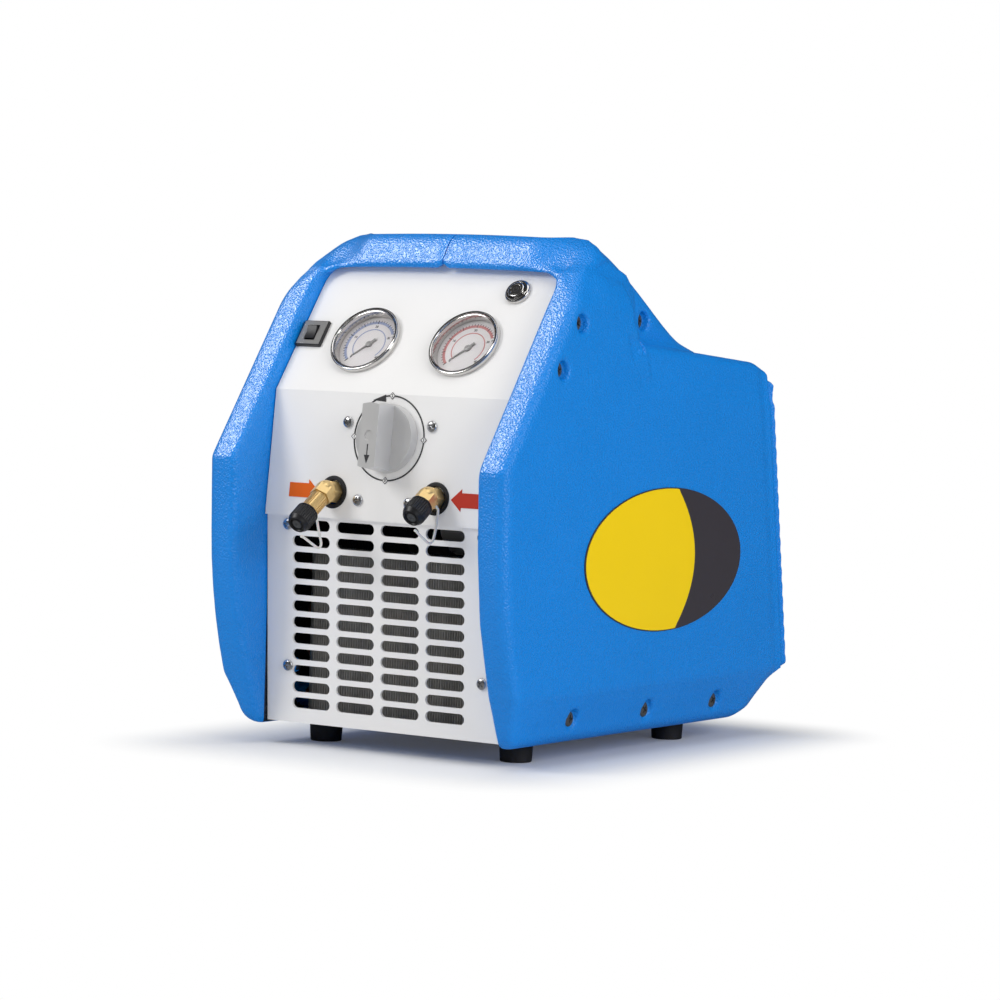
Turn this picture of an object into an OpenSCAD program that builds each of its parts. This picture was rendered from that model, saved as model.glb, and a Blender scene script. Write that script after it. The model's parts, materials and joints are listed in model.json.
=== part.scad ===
// Portable refrigerant recovery machine.
// Two moulded half shells form a carrying hoop round a recessed, bent control panel.
// X runs to the right seen from the front, Y to the rear, Z up from the floor.

/* [Body shell] */
// Width over the two side walls
body_w = 250; // [220:1:300]
// Depth from the knee of the front face to the rear bulge
body_d = 388; // [340:1:440]
// Distance that the inlet cap stands out in front of the legs
cap_proud = 8.5; // [0:0.5:14]
// Height from the floor to the top of the grip bar
body_h = 361; // [330:1:400]
// Gap between the floor and the lower edge of the shell
ground_gap = 16; // [12:1:24]
// Height of the knee where the front face starts to lean back
knee_z = 202; // [180:1:220]
// Lean of the upper front face from the vertical, in degrees
face_lean = 34.8; // [30:0.1:40]
// Lean of the lower front face from the vertical, in degrees
toe_lean = 1.5; // [0:0.1:4]
// Radius of the belly curve at the foot of the legs
belly_r = 330; // [250:5:420]
// Height where the belly curve starts
belly_z = 150; // [120:1:180]
// Height of the deck behind the hoop
deck_z = 291; // [280:1:300]
// Fall of the deck to the rear, in degrees
deck_fall = 4.3; // [0:0.1:8]
// Lean of the rear wall, in degrees
rear_lean = 8.8; // [4:0.1:12]
// Height of the widest and deepest line of the body
crease_z = 50; // [40:1:60]
// Amount that the lower sides tuck in
tuck = 8; // [4:1:14]
// Wall of the moulded shell
wall = 3.5; // [2.5:0.1:5]
// Rounding of the hoop's outer front edge
edge_r = 8; // [5:0.5:10]
// Radius of the hoop's top corners seen from the front
hoop_corner_r = 40; // [30:1:50]
// Rounding of the rear edges
rear_r = 26; // [20:1:30]
// Half width of the neck block between hoop and deck
neck_half_w = 110; // [100:1:114]
// Rounding along the top edges of the neck
neck_r = 16; // [10:1:20]

/* [Front opening] */
// Half width of the front opening
open_half_w = 101; // [95:0.5:104]
// Height of the lower edge of the grip bar
open_top_z = 340; // [335:1:345]
// Corner radius of the opening
open_corner_r = 17; // [12:1:24]
// Rounding of the opening's front edge
lip_r = 3; // [2:0.5:5]

/* [Control panel] */
// Gap between the panel and the shell's return wall on each side
panel_gap = 0.8; // [0.4:0.1:2]
// Thickness of the panel sheets
sheet = 2; // [1:0.1:3]
// Height of the ledge between the grille and the knob section
ledge_z = 163.5; // [155:0.5:175]
// Depth of the knob section's front face behind the knee, at the ledge
knob_inset = 35.9; // [30:0.1:40]
// Lean of the knob section, in degrees
knob_lean = 6; // [3:0.1:9]
// Height of the fold between the knob and gauge sections
fold_z = 249; // [240:1:258]
// Lean of the gauge section, in degrees
gauge_lean = 35.7; // [33:0.1:38]
// Length of the gauge section up its slope
gauge_len = 111; // [108:0.5:114]
// Depth of the grille's front face behind the knee, at the ledge
grille_inset = 38.4; // [36:0.1:42]
// Forward lean of the grille, in degrees
grille_lean = 2.54; // [0:0.1:4]
// Height of the grille's lower edge
grille_foot_z = 21; // [20:0.5:24]

/* [Grille slots] */
// Number of slot columns
slot_cols = 4; // [3:1:5]
// Number of slots in each column
slot_rows = 12; // [10:1:13]
// Distance between slot columns
slot_pitch_x = 37.8; // [34:0.1:40]
// Distance between slots in a column
slot_pitch_z = 11.35; // [10:0.05:12]
// Length of one slot
slot_len = 32.2; // [28:0.1:34]
// Height of one slot
slot_h = 7.6; // [6:0.1:8]
// Sideways place of the slot field's middle
slot_mid_x = -5.6; // [-8:0.1:8]
// Height of the slot field's middle
slot_mid_z = 92.9; // [88:0.1:96]

/* [Selector] */
// Height of the selector's axis up the knob section, from the ledge
knob_up = 55.6; // [50:0.1:60]
// Outer radius of the printed scale ring
scale_r = 29.7; // [27:0.1:33]
// Radius of the selector knob's round base
knob_r = 24; // [20:0.5:26]
// Height of the selector knob over the scale ring
knob_h = 24; // [16:0.5:26]
// Width of the knob's grip bar
grip_w = 14; // [10:0.5:18]
// Radius of the selector's stem
stem_r = 4; // [3:0.5:5]

/* [Gauges] */
// Sideways place of each gauge
gauge_x = 41.8; // [38:0.1:44]
// Place of the gauges up the gauge section, from the fold
gauge_up = 43.1; // [40:0.1:46]
// Outer radius of a gauge bezel
bezel_r = 26.8; // [24:0.1:28]
// Height of a bezel over the panel
bezel_h = 4.5; // [3:0.5:6]
// Depth of a gauge case behind the panel
case_depth = 26; // [20:1:30]
// Radius of a gauge case behind the panel
case_r = 24; // [20:0.5:25]

/* [Switches] */
// Sideways place of the start button
button_x = 66.5; // [60:0.5:72]
// Place of the start button up the gauge section
button_up = 88.3; // [84:0.1:92]
// Outer radius of the start button's collar
button_r = 9.5; // [8:0.5:11]
// Sideways place of the breaker switch
breaker_x = -89.2; // [-89.4:0.1:-84]
// Place of the breaker switch up the gauge section
breaker_up = 47; // [44:0.5:50]
// Width of the breaker's frame
breaker_w = 21; // [18:0.5:22]
// Height of the breaker's frame up the slope
breaker_h = 21; // [18:0.5:24]

/* [Ports] */
// Sideways place of each port
port_x = 43; // [38:0.5:46]
// Place of the ports up the knob section, from the ledge
port_up = 16.3; // [14:0.1:18]
// Dip of the port axes below the horizontal, in degrees
port_dip = 34.5; // [20:0.5:45]
// Radius of the flare thread
thread_r = 5.5; // [5:0.05:6]
// Length of the flare thread
thread_len = 12; // [10:0.5:14]
// Distance from the panel to the bend in each port
elbow_out = 9; // [7:0.5:12]
// Width of the port hexagons across flats
hex_af = 14; // [12:0.5:16]
// Length of the port hexagons past the bend
hex_h = 8; // [6:0.5:10]
// Length of the inlet's knurled filter body
filter_len = 16; // [12:0.5:18]
// Outer radius of a port cap
cap_r = 8.2; // [7:0.1:9]
// Radial gap between a cap and the thread
cap_gap = 0.9; // [0.85:0.05:1.2]
// Radius of a cap's tether cord
tether_r = 0.9; // [0.7:0.1:1.4]

/* [Screws] */
// Radius of the panel screws' heads
screw_head_r = 4; // [3:0.1:5]
// Height of the panel screws' heads
screw_head_h = 2.4; // [1.6:0.1:3]
// Radius of the screw shanks
screw_r = 1.9; // [1.5:0.1:2.5]
// Radius of the counterbores in the shell's sides
bore_r = 6.5; // [5:0.1:8]
// Depth of the counterbores in the shell's sides
bore_depth = 7; // [5:0.5:10]

/* [Feet and tray] */
// Sideways place of the feet
foot_x = 81; // [70:1:95]
// Distance between front and rear feet
foot_span = 198; // [180:1:240]
// Distance of the front feet behind the knee
foot_inset = 88.5; // [80:0.5:110]
// Radius of a foot at the floor
foot_r = 11; // [9:0.5:14]
// Thickness of the base tray
tray_t = 1.5; // [1:0.1:3]

/* [Cooling] */
// Width of the condenser block
cond_w = 148; // [130:1:150]
// Height of the condenser block
cond_h = 118; // [100:1:125]
// Depth of the condenser block
cond_d = 30; // [22:1:36]
// Distance between condenser fins
fin_pitch = 6; // [5:0.5:10]
// Thickness of one condenser fin
fin_t = 0.8; // [0.5:0.1:1.5]
// Radius of the condenser tubes
coil_r = 4; // [3:0.5:5]
// Tip radius of the fan
fan_r = 56; // [48:1:58]
// Number of fan blades
fan_blades = 7; // [5:1:9]
// Radius of the driven shaft
shaft_r = 6; // [5:0.5:8]
// Radial clearance of the shaft in its bores
shaft_gap = 0.05; // [0.02:0.01:0.09]

/* [Compressor] */
// Height of the shaft over the floor
shaft_z = 90; // [84:1:96]
// Outer radius of the motor
motor_r = 44; // [38:1:48]
// Length of the motor
motor_len = 96; // [80:1:110]
// Width of the crankcase
crank_w = 78; // [70:1:90]
// Length of the crankcase
crank_d = 84; // [70:1:90]
// Radius of a compressor cylinder's fins
cyl_r = 27; // [24:1:30]
// Length of a compressor cylinder with its head
cyl_len = 46; // [40:1:52]

/* [Rear panel] */
// Width of the rear panel
rear_w = 170; // [150:1:190]
// Height of the rear panel
rear_h = 150; // [130:1:170]
// Height of the rear panel's middle
rear_mid_z = 140; // [130:1:150]
// Radius of the rear fan guard
guard_r = 44; // [38:1:48]
// Width of the power inlet's opening
inlet_w = 27; // [25:0.5:30]
// Height of the power inlet's opening
inlet_h = 20; // [18:0.5:22]

/* [Hand grip] */
// Length of the finger pocket behind the grip bar
pocket_w = 128; // [110:1:140]
// Width of the finger pocket
pocket_d = 30; // [26:1:34]
// Depth of the finger pocket
pocket_depth = 34; // [28:1:38]

/* [Hidden] */
$fn = 48;

// Shared working values
over = 1;
seam = 0.25;
snug = 0.2;
arc_steps = 6;
edge_steps = 3;
side_steps = 5;
half_w = body_w / 2;
front_y = (cap_proud - body_d) / 2;
rear_y = (cap_proud + body_d) / 2;

// Colours
shell_blue = [0.0, 0.50, 0.87];
panel_grey = [0.90, 0.90, 0.90];
dark = [0.09, 0.09, 0.10];
knob_grey = [0.78, 0.78, 0.79];
steel = [0.75, 0.76, 0.78];
brass_yellow = [0.78, 0.62, 0.27];
cap_black = [0.06, 0.06, 0.06];
pale = [0.92, 0.92, 0.90];

// The front face, the crease behind the hoop, the neck's top and the rear wall, as heights along Y
function face_y(z) = front_y + (z > knee_z ? (z - knee_z) * tan(face_lean) :
    (knee_z - z) * tan(toe_lean) + belly(max(0, belly_z - z)));
function belly(drop) = belly_r - sqrt(belly_r * belly_r - drop * drop);

// Crease behind the hoop: nearly upright in its middle, swept forward above and rearward below
crease_top_z = 325;
crease_mid_z = 285;
crease_back = 152.3;
crease_y0 = front_y + crease_back;
crease_mid_slope = 0.17;
crease_top_slope = 0.92;
crease_low_slope = 1.25;
crease_end_z = 245;
function crease_y(z) = z > crease_top_z ? crease_y0 - (z - crease_top_z) * crease_top_slope :
    z > crease_mid_z ? crease_y0 + (crease_top_z - z) * crease_mid_slope :
    crease_y0 + (crease_top_z - crease_mid_z) * crease_mid_slope
        + (crease_mid_z - max(z, crease_end_z)) * crease_low_slope;
function wall_rear_y(z) = z > crease_z ? rear_y - (z - crease_z) * tan(rear_lean) :
    rear_y - (crease_z - z) * tan(rear_tuck);
rear_tuck = 46;

// The neck's top is one smooth S from the grip bar down to the deck
neck_start_back = 119;
neck_end_back = 264;
neck_drop = 5.5;
neck_start_y = front_y + neck_start_back;
neck_end_y = front_y + neck_end_back;
neck_start_z = body_h - neck_drop;
neck_end_z = deck_top(neck_end_y);
neck_slope_0 = -0.4;
neck_slope_1 = -0.09;
neck_steps = 12;
function deck_top(y) = deck_z - (y - crease_y0) * tan(deck_fall);
function neck_top(y) = s_curve((y - neck_start_y) / (neck_end_y - neck_start_y));
function s_curve(t) = (2 * t ^ 3 - 3 * t ^ 2 + 1) * neck_start_z + (3 * t ^ 2 - 2 * t ^ 3) * neck_end_z
    + ((t ^ 3 - 2 * t ^ 2 + t) * neck_slope_0 + (t ^ 3 - t ^ 2) * neck_slope_1) * (neck_end_y - neck_start_y);

// Half of a front-view outline, from the bottom middle round the side to the top middle
low_corner_r = 12;
low_corner_min = 1.2;
function low_r(inset) = max(low_corner_r - inset, low_corner_min);
function arc_pts(c, r, from, to) = [for (i = [0:arc_steps])
    let (a = from + (to - from) * i / arc_steps) [c[0] + r * cos(a), c[1] + r * sin(a)]];
function side_zs(low, high) = [
    for (i = [1:side_steps]) low + (belly_z - low) * i / side_steps,
    if (high > knee_z) each [knee_z - edge_r, knee_z, knee_z + edge_r]];
function body_outline(inset, top, r, low = ground_gap) = concat(
    [[0, low + inset]],
    let (r = low_r(inset)) arc_pts([half_w - tuck - inset - r, low + inset + r], r, -90, 0),
    [[half_w - inset, crease_z]],
    [for (z = side_zs(crease_z, top - r)) [half_w - inset, z]],
    arc_pts([half_w - r, top - r], r - inset, 0, 90),
    [[0, top - inset]]);

// A half solid through rings that share one number of points: skin, both ends and the flat middle.
// The outer forms stop at the seam, the cavities run on past it.
past_seam = 10;
module loft_half(rings, mid = seam) {
    n = len(rings[0]);
    m = len(rings);
    pts = [for (ring = rings) each concat([for (p = ring) [p[0] == 0 ? mid : p[0], p[1], p[2]]],
        [for (p = ring) [mid, p[1], p[2]]])];
    skin = [for (k = [0:m - 2]) for (i = [0:n - 2])
        each quad(2 * n * k + i, 2 * n * k + i + 1, 2 * n * (k + 1) + i + 1, 2 * n * (k + 1) + i)];
    middle = [for (k = [0:m - 2]) for (i = [0:n - 2])
        each quad(2 * n * k + n + i + 1, 2 * n * k + n + i, 2 * n * (k + 1) + n + i, 2 * n * (k + 1) + n + i + 1)];
    front = [for (i = [0:n - 2]) each quad(i, n + i, n + i + 1, i + 1)];
    last = 2 * n * (m - 1);
    rear = [for (i = [0:n - 2]) each quad(last + n + i, last + i, last + i + 1, last + n + i + 1)];
    polyhedron(pts, concat(skin, middle, front, rear), convexity = 8);
}
function quad(a, b, c, d) = [[a, b, c], [a, c, d]];

// The hoop: outline rings pushed back from the front face to the crease
hoop_drop = 15;
hoop_shares = [0.6, 1];
function hoop_ring(inset, back, t) = [for (p = body_outline(inset + t, body_h, hoop_corner_r))
    [p[0], face_y(p[1]) + back + t, p[1]]];
function hoop_back(inset, share_s, t) = [for (p = body_outline(inset + t, body_h - hoop_drop * share_s, hoop_corner_r))
    [p[0], (face_y(p[1]) + edge_r) * (1 - share_s) + (crease_y(p[1]) - t) * share_s, p[1]]];
module hoop_form(t) {
    loft_half(concat(
        [for (i = [0:edge_steps]) let (a = 90 - 90 * i / edge_steps)
            hoop_ring(edge_r * (1 - cos(a)), edge_r * (1 - sin(a)), t)],
        [for (q = hoop_shares) hoop_back(0, q, t)]), mid_at(t));
}
function mid_at(t) = t > 0 ? -past_seam : seam;

// The main body: straight walls, then a large rounding into the rear wall
body_start_back = 94;
body_start_y = front_y + body_start_back;
function body_ring(inset, back, t) = [for (p = body_outline(inset + t, deck_top(rear_y - rear_r), rear_r + wall + over))
    [p[0], wall_rear_y(p[1]) - back - t, p[1]]];
module main_form(t) {
    loft_half(concat(
        [[for (p = body_outline(t, deck_top(body_start_y), rear_r + wall + over)) [p[0], body_start_y + t, p[1]]]],
        [for (i = [0:edge_steps]) let (a = 90 * i / edge_steps)
            body_ring(rear_r * (1 - cos(a)), rear_r * (1 - sin(a)), t)]), mid_at(t));
}

// The neck: a block under the S curve
neck_foot_z = 250;
module neck_form(t) {
    loft_half([for (i = [0:neck_steps])
        let (y = neck_start_y + (neck_end_y - neck_start_y) * i / neck_steps)
        [for (p = neck_outline(t, neck_top(y))) [p[0], y, p[1]]]], mid_at(t));
}
function neck_outline(t, top) = concat([[0, neck_foot_z], [neck_half_w - t, neck_foot_z]],
    arc_pts([neck_half_w - neck_r, top - neck_r], neck_r - t, 0, 90), [[0, top - t]]);

// The front opening, and the return wall that lines it back to the panel
function panel_y(z) = z < ledge_z ? front_y + grille_inset - (z - ledge_z) * tan(grille_lean) :
    z < fold_z ? front_y + knob_inset + (z - ledge_z) * tan(knob_lean) :
    front_y + knob_inset + (fold_z - ledge_z) * tan(knob_lean) + (z - fold_z) * tan(gauge_lean);
return_lap = 12;
function opening_outline(grow) = concat([[0, -over], [open_half_w + grow, -over]],
    [for (z = [crease_z, belly_z - crease_z, belly_z, knee_z - lip_r, knee_z + lip_r, fold_z, fold_z + edge_r])
        [open_half_w + grow, z]],
    arc_pts([open_half_w - open_corner_r, open_top_z - open_corner_r], open_corner_r + grow, 0, 90),
    [[0, open_top_z + grow]]);
module opening_form(grow, lip, lap) {
    loft_half([
        [for (p = opening_outline(grow + lip)) [p[0], face_y(p[1]) - 2 * wall, p[1]]],
        [for (p = opening_outline(grow + lip)) [p[0], face_y(p[1]), p[1]]],
        [for (p = opening_outline(grow)) [p[0], face_y(p[1]) + lip_r, p[1]]],
        [for (p = opening_outline(grow)) [p[0], max(panel_y(p[1]), face_y(p[1]) + edge_r) + lap, p[1]]]],
        -past_seam - over);
}

// Screw places in the shell's sides, as distance behind the front and height
side_screws = [[88.9, 301.5], [67, 269.8], [100.8, 32.4], [197.7, 31.8], [291.2, 31.8]];
neck_screw = [171, 304.3];
boss_wall = 2.5;
boss_r = bore_r + boss_wall;
boss_len = 24;
function screw_wall_x(i) = i < 2 ? half_w : half_w - tuck / 2;

module half_shell() {
    difference() {
        union() {
            hoop_form(0);
            main_form(0);
            neck_form(0);
        }
        difference() {
            union() {
                hoop_form(wall);
                main_form(wall);
                neck_form(wall);
            }
            opening_form(wall, 0, return_lap);
            for (i = [0:len(side_screws) - 1])
                side_boss(side_screws[i], screw_wall_x(i));
            side_boss(neck_screw, neck_half_w);
        }
        opening_form(0, lip_r, return_lap + over);
        for (i = [0:len(side_screws) - 1])
            side_hole(side_screws[i], screw_wall_x(i), bore_r, bore_depth);
        side_hole(neck_screw, neck_half_w, bore_r, bore_depth);
        pocket_cut();
        rear_cut();
        tray_slots();
    }
    panel_posts();
}

module side_hole(place, x, r, depth) {
    translate([x + over, front_y + place[0], place[1]])
        rotate([0, -90, 0])
            cylinder(h = depth + over, r = r, $fn = 32);
}
// A moulded boss tapers towards its free end
boss_draft = 1;
module side_boss(place, x) {
    hull() {
        side_hole(place, x, boss_r, boss_len);
        side_hole(place, x, boss_r + boss_draft, over);
    }
}

// Posts behind the grille's corner screws
post_r = 5.5;
post_len = 7;
post_gap = 0.6;
module panel_posts() {
    for (z = [grille_screw_low, grille_screw_high])
        translate([0, panel_y(z) + sheet + post_gap, z]) hull() {
            translate([grille_screw_x, 0, 0]) rotate([-90, 0, 0])
                cylinder(h = post_len, r = post_r, $fn = 24);
            translate([half_w - wall, 0, -post_r])
                cube([wall / 2, post_len, 2 * post_r]);
        }
}

module right_shell() {
    color(shell_blue) half_shell();
}
module left_shell() {
    color(shell_blue) mirror([1, 0, 0]) half_shell();
}

// Local frames on the three panel sections: X across, Y up the slope, Z out of the panel
knob_y0 = front_y + knob_inset;
fold_y = knob_y0 + (fold_z - ledge_z) * tan(knob_lean);
knob_len = (fold_z - ledge_z) / cos(knob_lean);
module on_knob() {
    translate([0, knob_y0, ledge_z]) rotate([90 - knob_lean, 0, 0]) children();
}
module on_gauge() {
    translate([0, fold_y, fold_z]) rotate([90 - gauge_lean, 0, 0]) children();
}
module on_grille() {
    translate([0, front_y + grille_inset, ledge_z]) rotate([90 + grille_lean, 0, 0]) children();
}
port_y = knob_y0 + port_up * sin(knob_lean);
port_z = ledge_z + port_up * cos(knob_lean);
module on_port(side) {
    translate([side * port_x, port_y - elbow_out * cos(knob_lean), port_z + elbow_out * sin(knob_lean)])
        rotate([90 + port_dip, 0, 0]) children();
}

panel_half_w = open_half_w - panel_gap;
gauge_hole_r = case_r + snug;
valve_hole_r = stem_r + over;
port_hole_r = 10;
button_hole_r = 8;
knob_screw_x = 35.3;
knob_screw_up = 65.2;
low_screw_x = 21.4;
low_screw_up = 11.8;

// The bent sheet's profile as places behind (out < 0) or in front of each section's face
function knob_pt(up, out) = [knob_y0 + up * sin(knob_lean) - out * cos(knob_lean),
    ledge_z + up * cos(knob_lean) + out * sin(knob_lean)];
function gauge_pt(up, out) = [fold_y + up * sin(gauge_lean) - out * cos(gauge_lean),
    fold_z + up * cos(gauge_lean) + out * sin(gauge_lean)];
fold_mid = (knob_lean + gauge_lean) / 2;
fold_back = sheet / cos((gauge_lean - knob_lean) / 2);
ledge_end_y = front_y + grille_inset + sheet;
module panel_corners() {
    for (s = [0, 1]) mirror([s, 0, 0])
        translate([open_half_w - open_corner_r, front_y, open_top_z - open_corner_r]) difference() {
            cube([open_corner_r, body_d, open_corner_r]);
            translate([0, -over, 0]) rotate([-90, 0, 0])
                cylinder(h = body_d + 2 * over, r = open_corner_r - panel_gap);
        }
}
module front_panel() {
    color(panel_grey) difference() {
        translate([-panel_half_w, 0, 0]) rotate([90, 0, 90]) linear_extrude(height = 2 * panel_half_w)
            polygon([[knob_y0, ledge_z - sheet], [ledge_end_y, ledge_z - sheet], [ledge_end_y, ledge_z],
                [knob_y0 + sheet / cos(knob_lean), ledge_z],
                [fold_y + fold_back * cos(fold_mid), fold_z - fold_back * sin(fold_mid)],
                gauge_pt(gauge_len, -sheet), gauge_pt(gauge_len, 0), [fold_y, fold_z], knob_pt(0, 0)]);
        panel_corners();
        on_knob() {
            translate([0, knob_up, -sheet - over])
                cylinder(h = sheet + 2 * over, r = valve_hole_r);
            for (s = [-1, 1]) {
                translate([s * port_x, port_up, -sheet - over])
                    cylinder(h = sheet + 2 * over, r = port_hole_r);
                translate([s * knob_screw_x, knob_screw_up, -sheet - over])
                    cylinder(h = sheet + 2 * over, r = screw_r);
                translate([s * low_screw_x, low_screw_up, -sheet - over])
                    cylinder(h = sheet + 2 * over, r = screw_r);
            }
        }
        on_gauge() {
            for (s = [-1, 1])
                translate([s * gauge_x, gauge_up, -sheet - over])
                    cylinder(h = sheet + 2 * over, r = gauge_hole_r);
            translate([button_x, button_up, -sheet - over])
                cylinder(h = sheet + 2 * over, r = button_hole_r);
            translate([breaker_x - breaker_w / 2 + sheet, breaker_up - breaker_h / 2 + sheet, -sheet - over])
                cube([breaker_w - 2 * sheet, breaker_h - 2 * sheet, sheet + 2 * over]);
        }
    }
}

grille_len = (ledge_z - sheet - grille_foot_z) / cos(grille_lean);
grille_screw_high = 155.4;
grille_screw_low = 56.2;
grille_screw_x = 82;
grille_bend = 9;
grille_foot_y = front_y + grille_inset + (ledge_z - grille_foot_z) * tan(grille_lean) + sheet + grille_bend;
module grille_panel() {
    color(panel_grey) on_grille() difference() {
        union() {
            translate([-panel_half_w, -grille_len - sheet, -sheet])
                cube([2 * panel_half_w, grille_len - snug, sheet]);
            translate([-panel_half_w + grille_bend, -grille_len - sheet, -sheet - grille_bend])
                cube([2 * (panel_half_w - grille_bend), sheet, grille_bend]);
        }
        for (c = [0:slot_cols - 1]) for (r = [0:slot_rows - 1])
            translate([slot_mid_x + (c - (slot_cols - 1) / 2) * slot_pitch_x,
                (slot_mid_z - ledge_z + (r - (slot_rows - 1) / 2) * slot_pitch_z) / cos(grille_lean), -sheet - over])
                slot_cut();
        for (s = [-1, 1]) for (z = [grille_screw_low, grille_screw_high])
            translate([s * grille_screw_x, z - ledge_z, -sheet - over])
                cylinder(h = sheet + 2 * over, r = screw_r);
    }
}
module slot_cut() {
    translate([-(slot_len - slot_h) / 2, -slot_h / 2, 0])
        cube([slot_len - slot_h, slot_h, sheet + 2 * over]);
    for (s = [-1, 1])
        translate([s * (slot_len - slot_h) / 2, 0, 0])
            cylinder(h = sheet + 2 * over, r = slot_h / 2, $fn = 24);
}

// Selector: scale ring, knob with a grip bar, stem and valve block
ring_t = 0.3;
ring_w = 1;
wedge_mark = [[-16, 25.7], [-5.1, 24.9], [-5.6, 29.8]];
knob_base_h = 6.5;
knob_draft = 1.6;
dimple_r = 3.4;
knob_gap = 0.4;
block_w = 96;
block_d = 30;
stem_deep = 18;
module dial_ring() {
    color(dark) on_knob() translate([0, knob_up, 0]) {
        difference() {
            cylinder(h = ring_t, r = scale_r);
            translate([0, 0, -over]) cylinder(h = ring_t + 2 * over, r = scale_r - ring_w);
        }
        linear_extrude(height = ring_t) polygon(wedge_mark);
    }
}
module selector_knob() {
    color(knob_grey) on_knob() translate([0, knob_up, knob_gap]) difference() {
        union() {
            cylinder(h = knob_base_h, r1 = knob_r, r2 = knob_r - knob_draft / 2);
            intersection() {
                translate([-grip_w / 2, -knob_r, 0]) cube([grip_w, 2 * knob_r, knob_h]);
                cylinder(h = knob_h, r1 = knob_r, r2 = knob_r - knob_draft);
            }
        }
        translate([0, 0, -over]) cylinder(h = knob_h / 2 + over, r = stem_r);
        translate([0, 0, knob_h - pointer_t]) cylinder(h = pointer_t + over, r = dimple_r);
        translate([0, 0, knob_h - pointer_t]) linear_extrude(height = pointer_t + over) polygon(pointer_pts);
    }
}
// Arrow let into the grip bar, from the dimple towards the bar's lower end
pointer_t = 0.8;
pointer_pts = [[-0.5, -6], [-0.5, -13.5], [-2.4, -13.5], [0, -19.5], [2.4, -13.5], [0.5, -13.5], [0.5, -6]];
module knob_pointer() {
    color(dark) on_knob() translate([0, knob_up, knob_gap + knob_h - pointer_t])
        linear_extrude(height = pointer_t) polygon(pointer_pts);
}
module valve_stem() {
    color(steel) on_knob() translate([0, knob_up, -stem_deep])
        cylinder(h = stem_deep + knob_gap + knob_h / 2, r = stem_r);
}
stem_gap = 0.05;
block_foot = port_up - hex_af / 2;
block_h = knob_screw_up + 2 * screw_r - block_foot;
module valve_block() {
    color(steel) on_knob() translate([0, 0, -sheet]) difference() {
        translate([-block_w / 2, block_foot, -block_d]) cube([block_w, block_h, block_d]);
        translate([0, knob_up, -stem_deep + sheet - snug]) cylinder(h = stem_deep + over, r = stem_r + stem_gap);
        for (s = [-1, 1]) {
            translate([s * port_x, port_up, -shank_len]) cylinder(h = shank_len + over, r = shank_r);
            for (place = [[knob_screw_x, knob_screw_up], [low_screw_x, low_screw_up]])
                translate([s * place[0], place[1], -panel_screw_reach]) cylinder(h = panel_screw_reach + over, r = screw_r);
        }
    }
}

// Gauges: case with bezel, dial, needle and lens
dial_t = 0.6;
lens_t = 1;
dial_up = -4;
needle_t = 0.6;
needle_len = 15;
lens_up = 2;
hub_r = 2.6;
bezel_wall = 3.2;
module gauge_case(side) {
    color(steel) on_gauge() translate([side * gauge_x, gauge_up, 0]) difference() {
        union() {
            rotate_extrude() polygon([
                [0, 0], [bezel_r, 0], [bezel_r, bezel_h / 2], [bezel_r - bezel_h / 2, bezel_h],
                [bezel_r - bezel_wall / 2, bezel_h], [0, bezel_h]]);
            translate([0, 0, -case_depth]) cylinder(h = case_depth + over, r = case_r);
            translate([0, 0, -case_depth - thread_len]) cylinder(h = thread_len + over, r = thread_r);
        }
        translate([0, 0, dial_up - dial_t]) cylinder(h = case_depth, r = bezel_r - bezel_wall);
        translate([0, 0, dial_up - dial_t - over - lens_t])
            cylinder(h = case_depth, r = needle_pin_r + stem_gap, $fn = 24);
    }
}
needle_pin_r = 1;
module gauge_dial(side) {
    color(pale) on_gauge() translate([side * gauge_x, gauge_up, dial_up - dial_t]) difference() {
        cylinder(h = dial_t, r = bezel_r - bezel_wall);
        translate([0, 0, -over]) cylinder(h = dial_t + 2 * over, r = needle_pin_r + stem_gap, $fn = 24);
    }
}
module gauge_needle(side) {
    color(cap_black) on_gauge() translate([side * gauge_x, gauge_up, dial_up]) rotate([0, 0, -needle_rest]) {
        translate([0, 0, -dial_t - over]) cylinder(h = dial_t + over + needle_t, r = needle_pin_r, $fn = 24);
        translate([0, 0, knob_gap]) cylinder(h = needle_t + knob_gap, r = hub_r, $fn = 24);
        translate([0, 0, knob_gap]) linear_extrude(height = needle_t)
            polygon([[-needle_pin_r, -hub_r * 2], [needle_pin_r, -hub_r * 2], [needle_pin_r / 4, needle_len],
                [-needle_pin_r / 4, needle_len]]);
    }
}
needle_rest = -135;
module gauge_lens(side) {
    color([0.8, 0.9, 0.95, 0.35]) on_gauge() translate([side * gauge_x, gauge_up, lens_up])
        cylinder(h = lens_t, r = bezel_r - bezel_wall);
}
module low_gauge_case() { gauge_case(-1); }
module low_gauge_dial() { gauge_dial(-1); }
module low_gauge_needle() { gauge_needle(-1); }
module low_gauge_lens() { gauge_lens(-1); }
module high_gauge_case() { gauge_case(1); }
module high_gauge_dial() { gauge_dial(1); }
module high_gauge_needle() { gauge_needle(1); }
module high_gauge_lens() { gauge_lens(1); }

// Start button in its collar, and the breaker rocker in its frame
collar_h = 3.5;
button_cap_r = 6.2;
button_travel = 2.5;
button_deep = 22;
module start_collar() {
    color(steel) on_gauge() translate([button_x, button_up, 0]) difference() {
        union() {
            rotate_extrude() polygon([[0, 0], [button_r, 0], [button_r, collar_h / 2],
                [button_r - collar_h / 2, collar_h], [0, collar_h]]);
            translate([0, 0, -button_deep]) cylinder(h = button_deep + over, r = button_hole_r - snug);
        }
        translate([0, 0, -button_deep + sheet]) cylinder(h = button_deep + collar_h, r = button_cap_r + knob_gap);
    }
}
module start_button() {
    color(steel) on_gauge() translate([button_x, button_up, -button_deep / 2])
        cylinder(h = button_deep / 2 + collar_h + over, r = button_cap_r);
}
rocker_w = 8;
rocker_len = 12;
rocker_r = 8;
rocker_t = 5;
frame_h = 2.4;
plate_t = 0.6;
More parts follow.
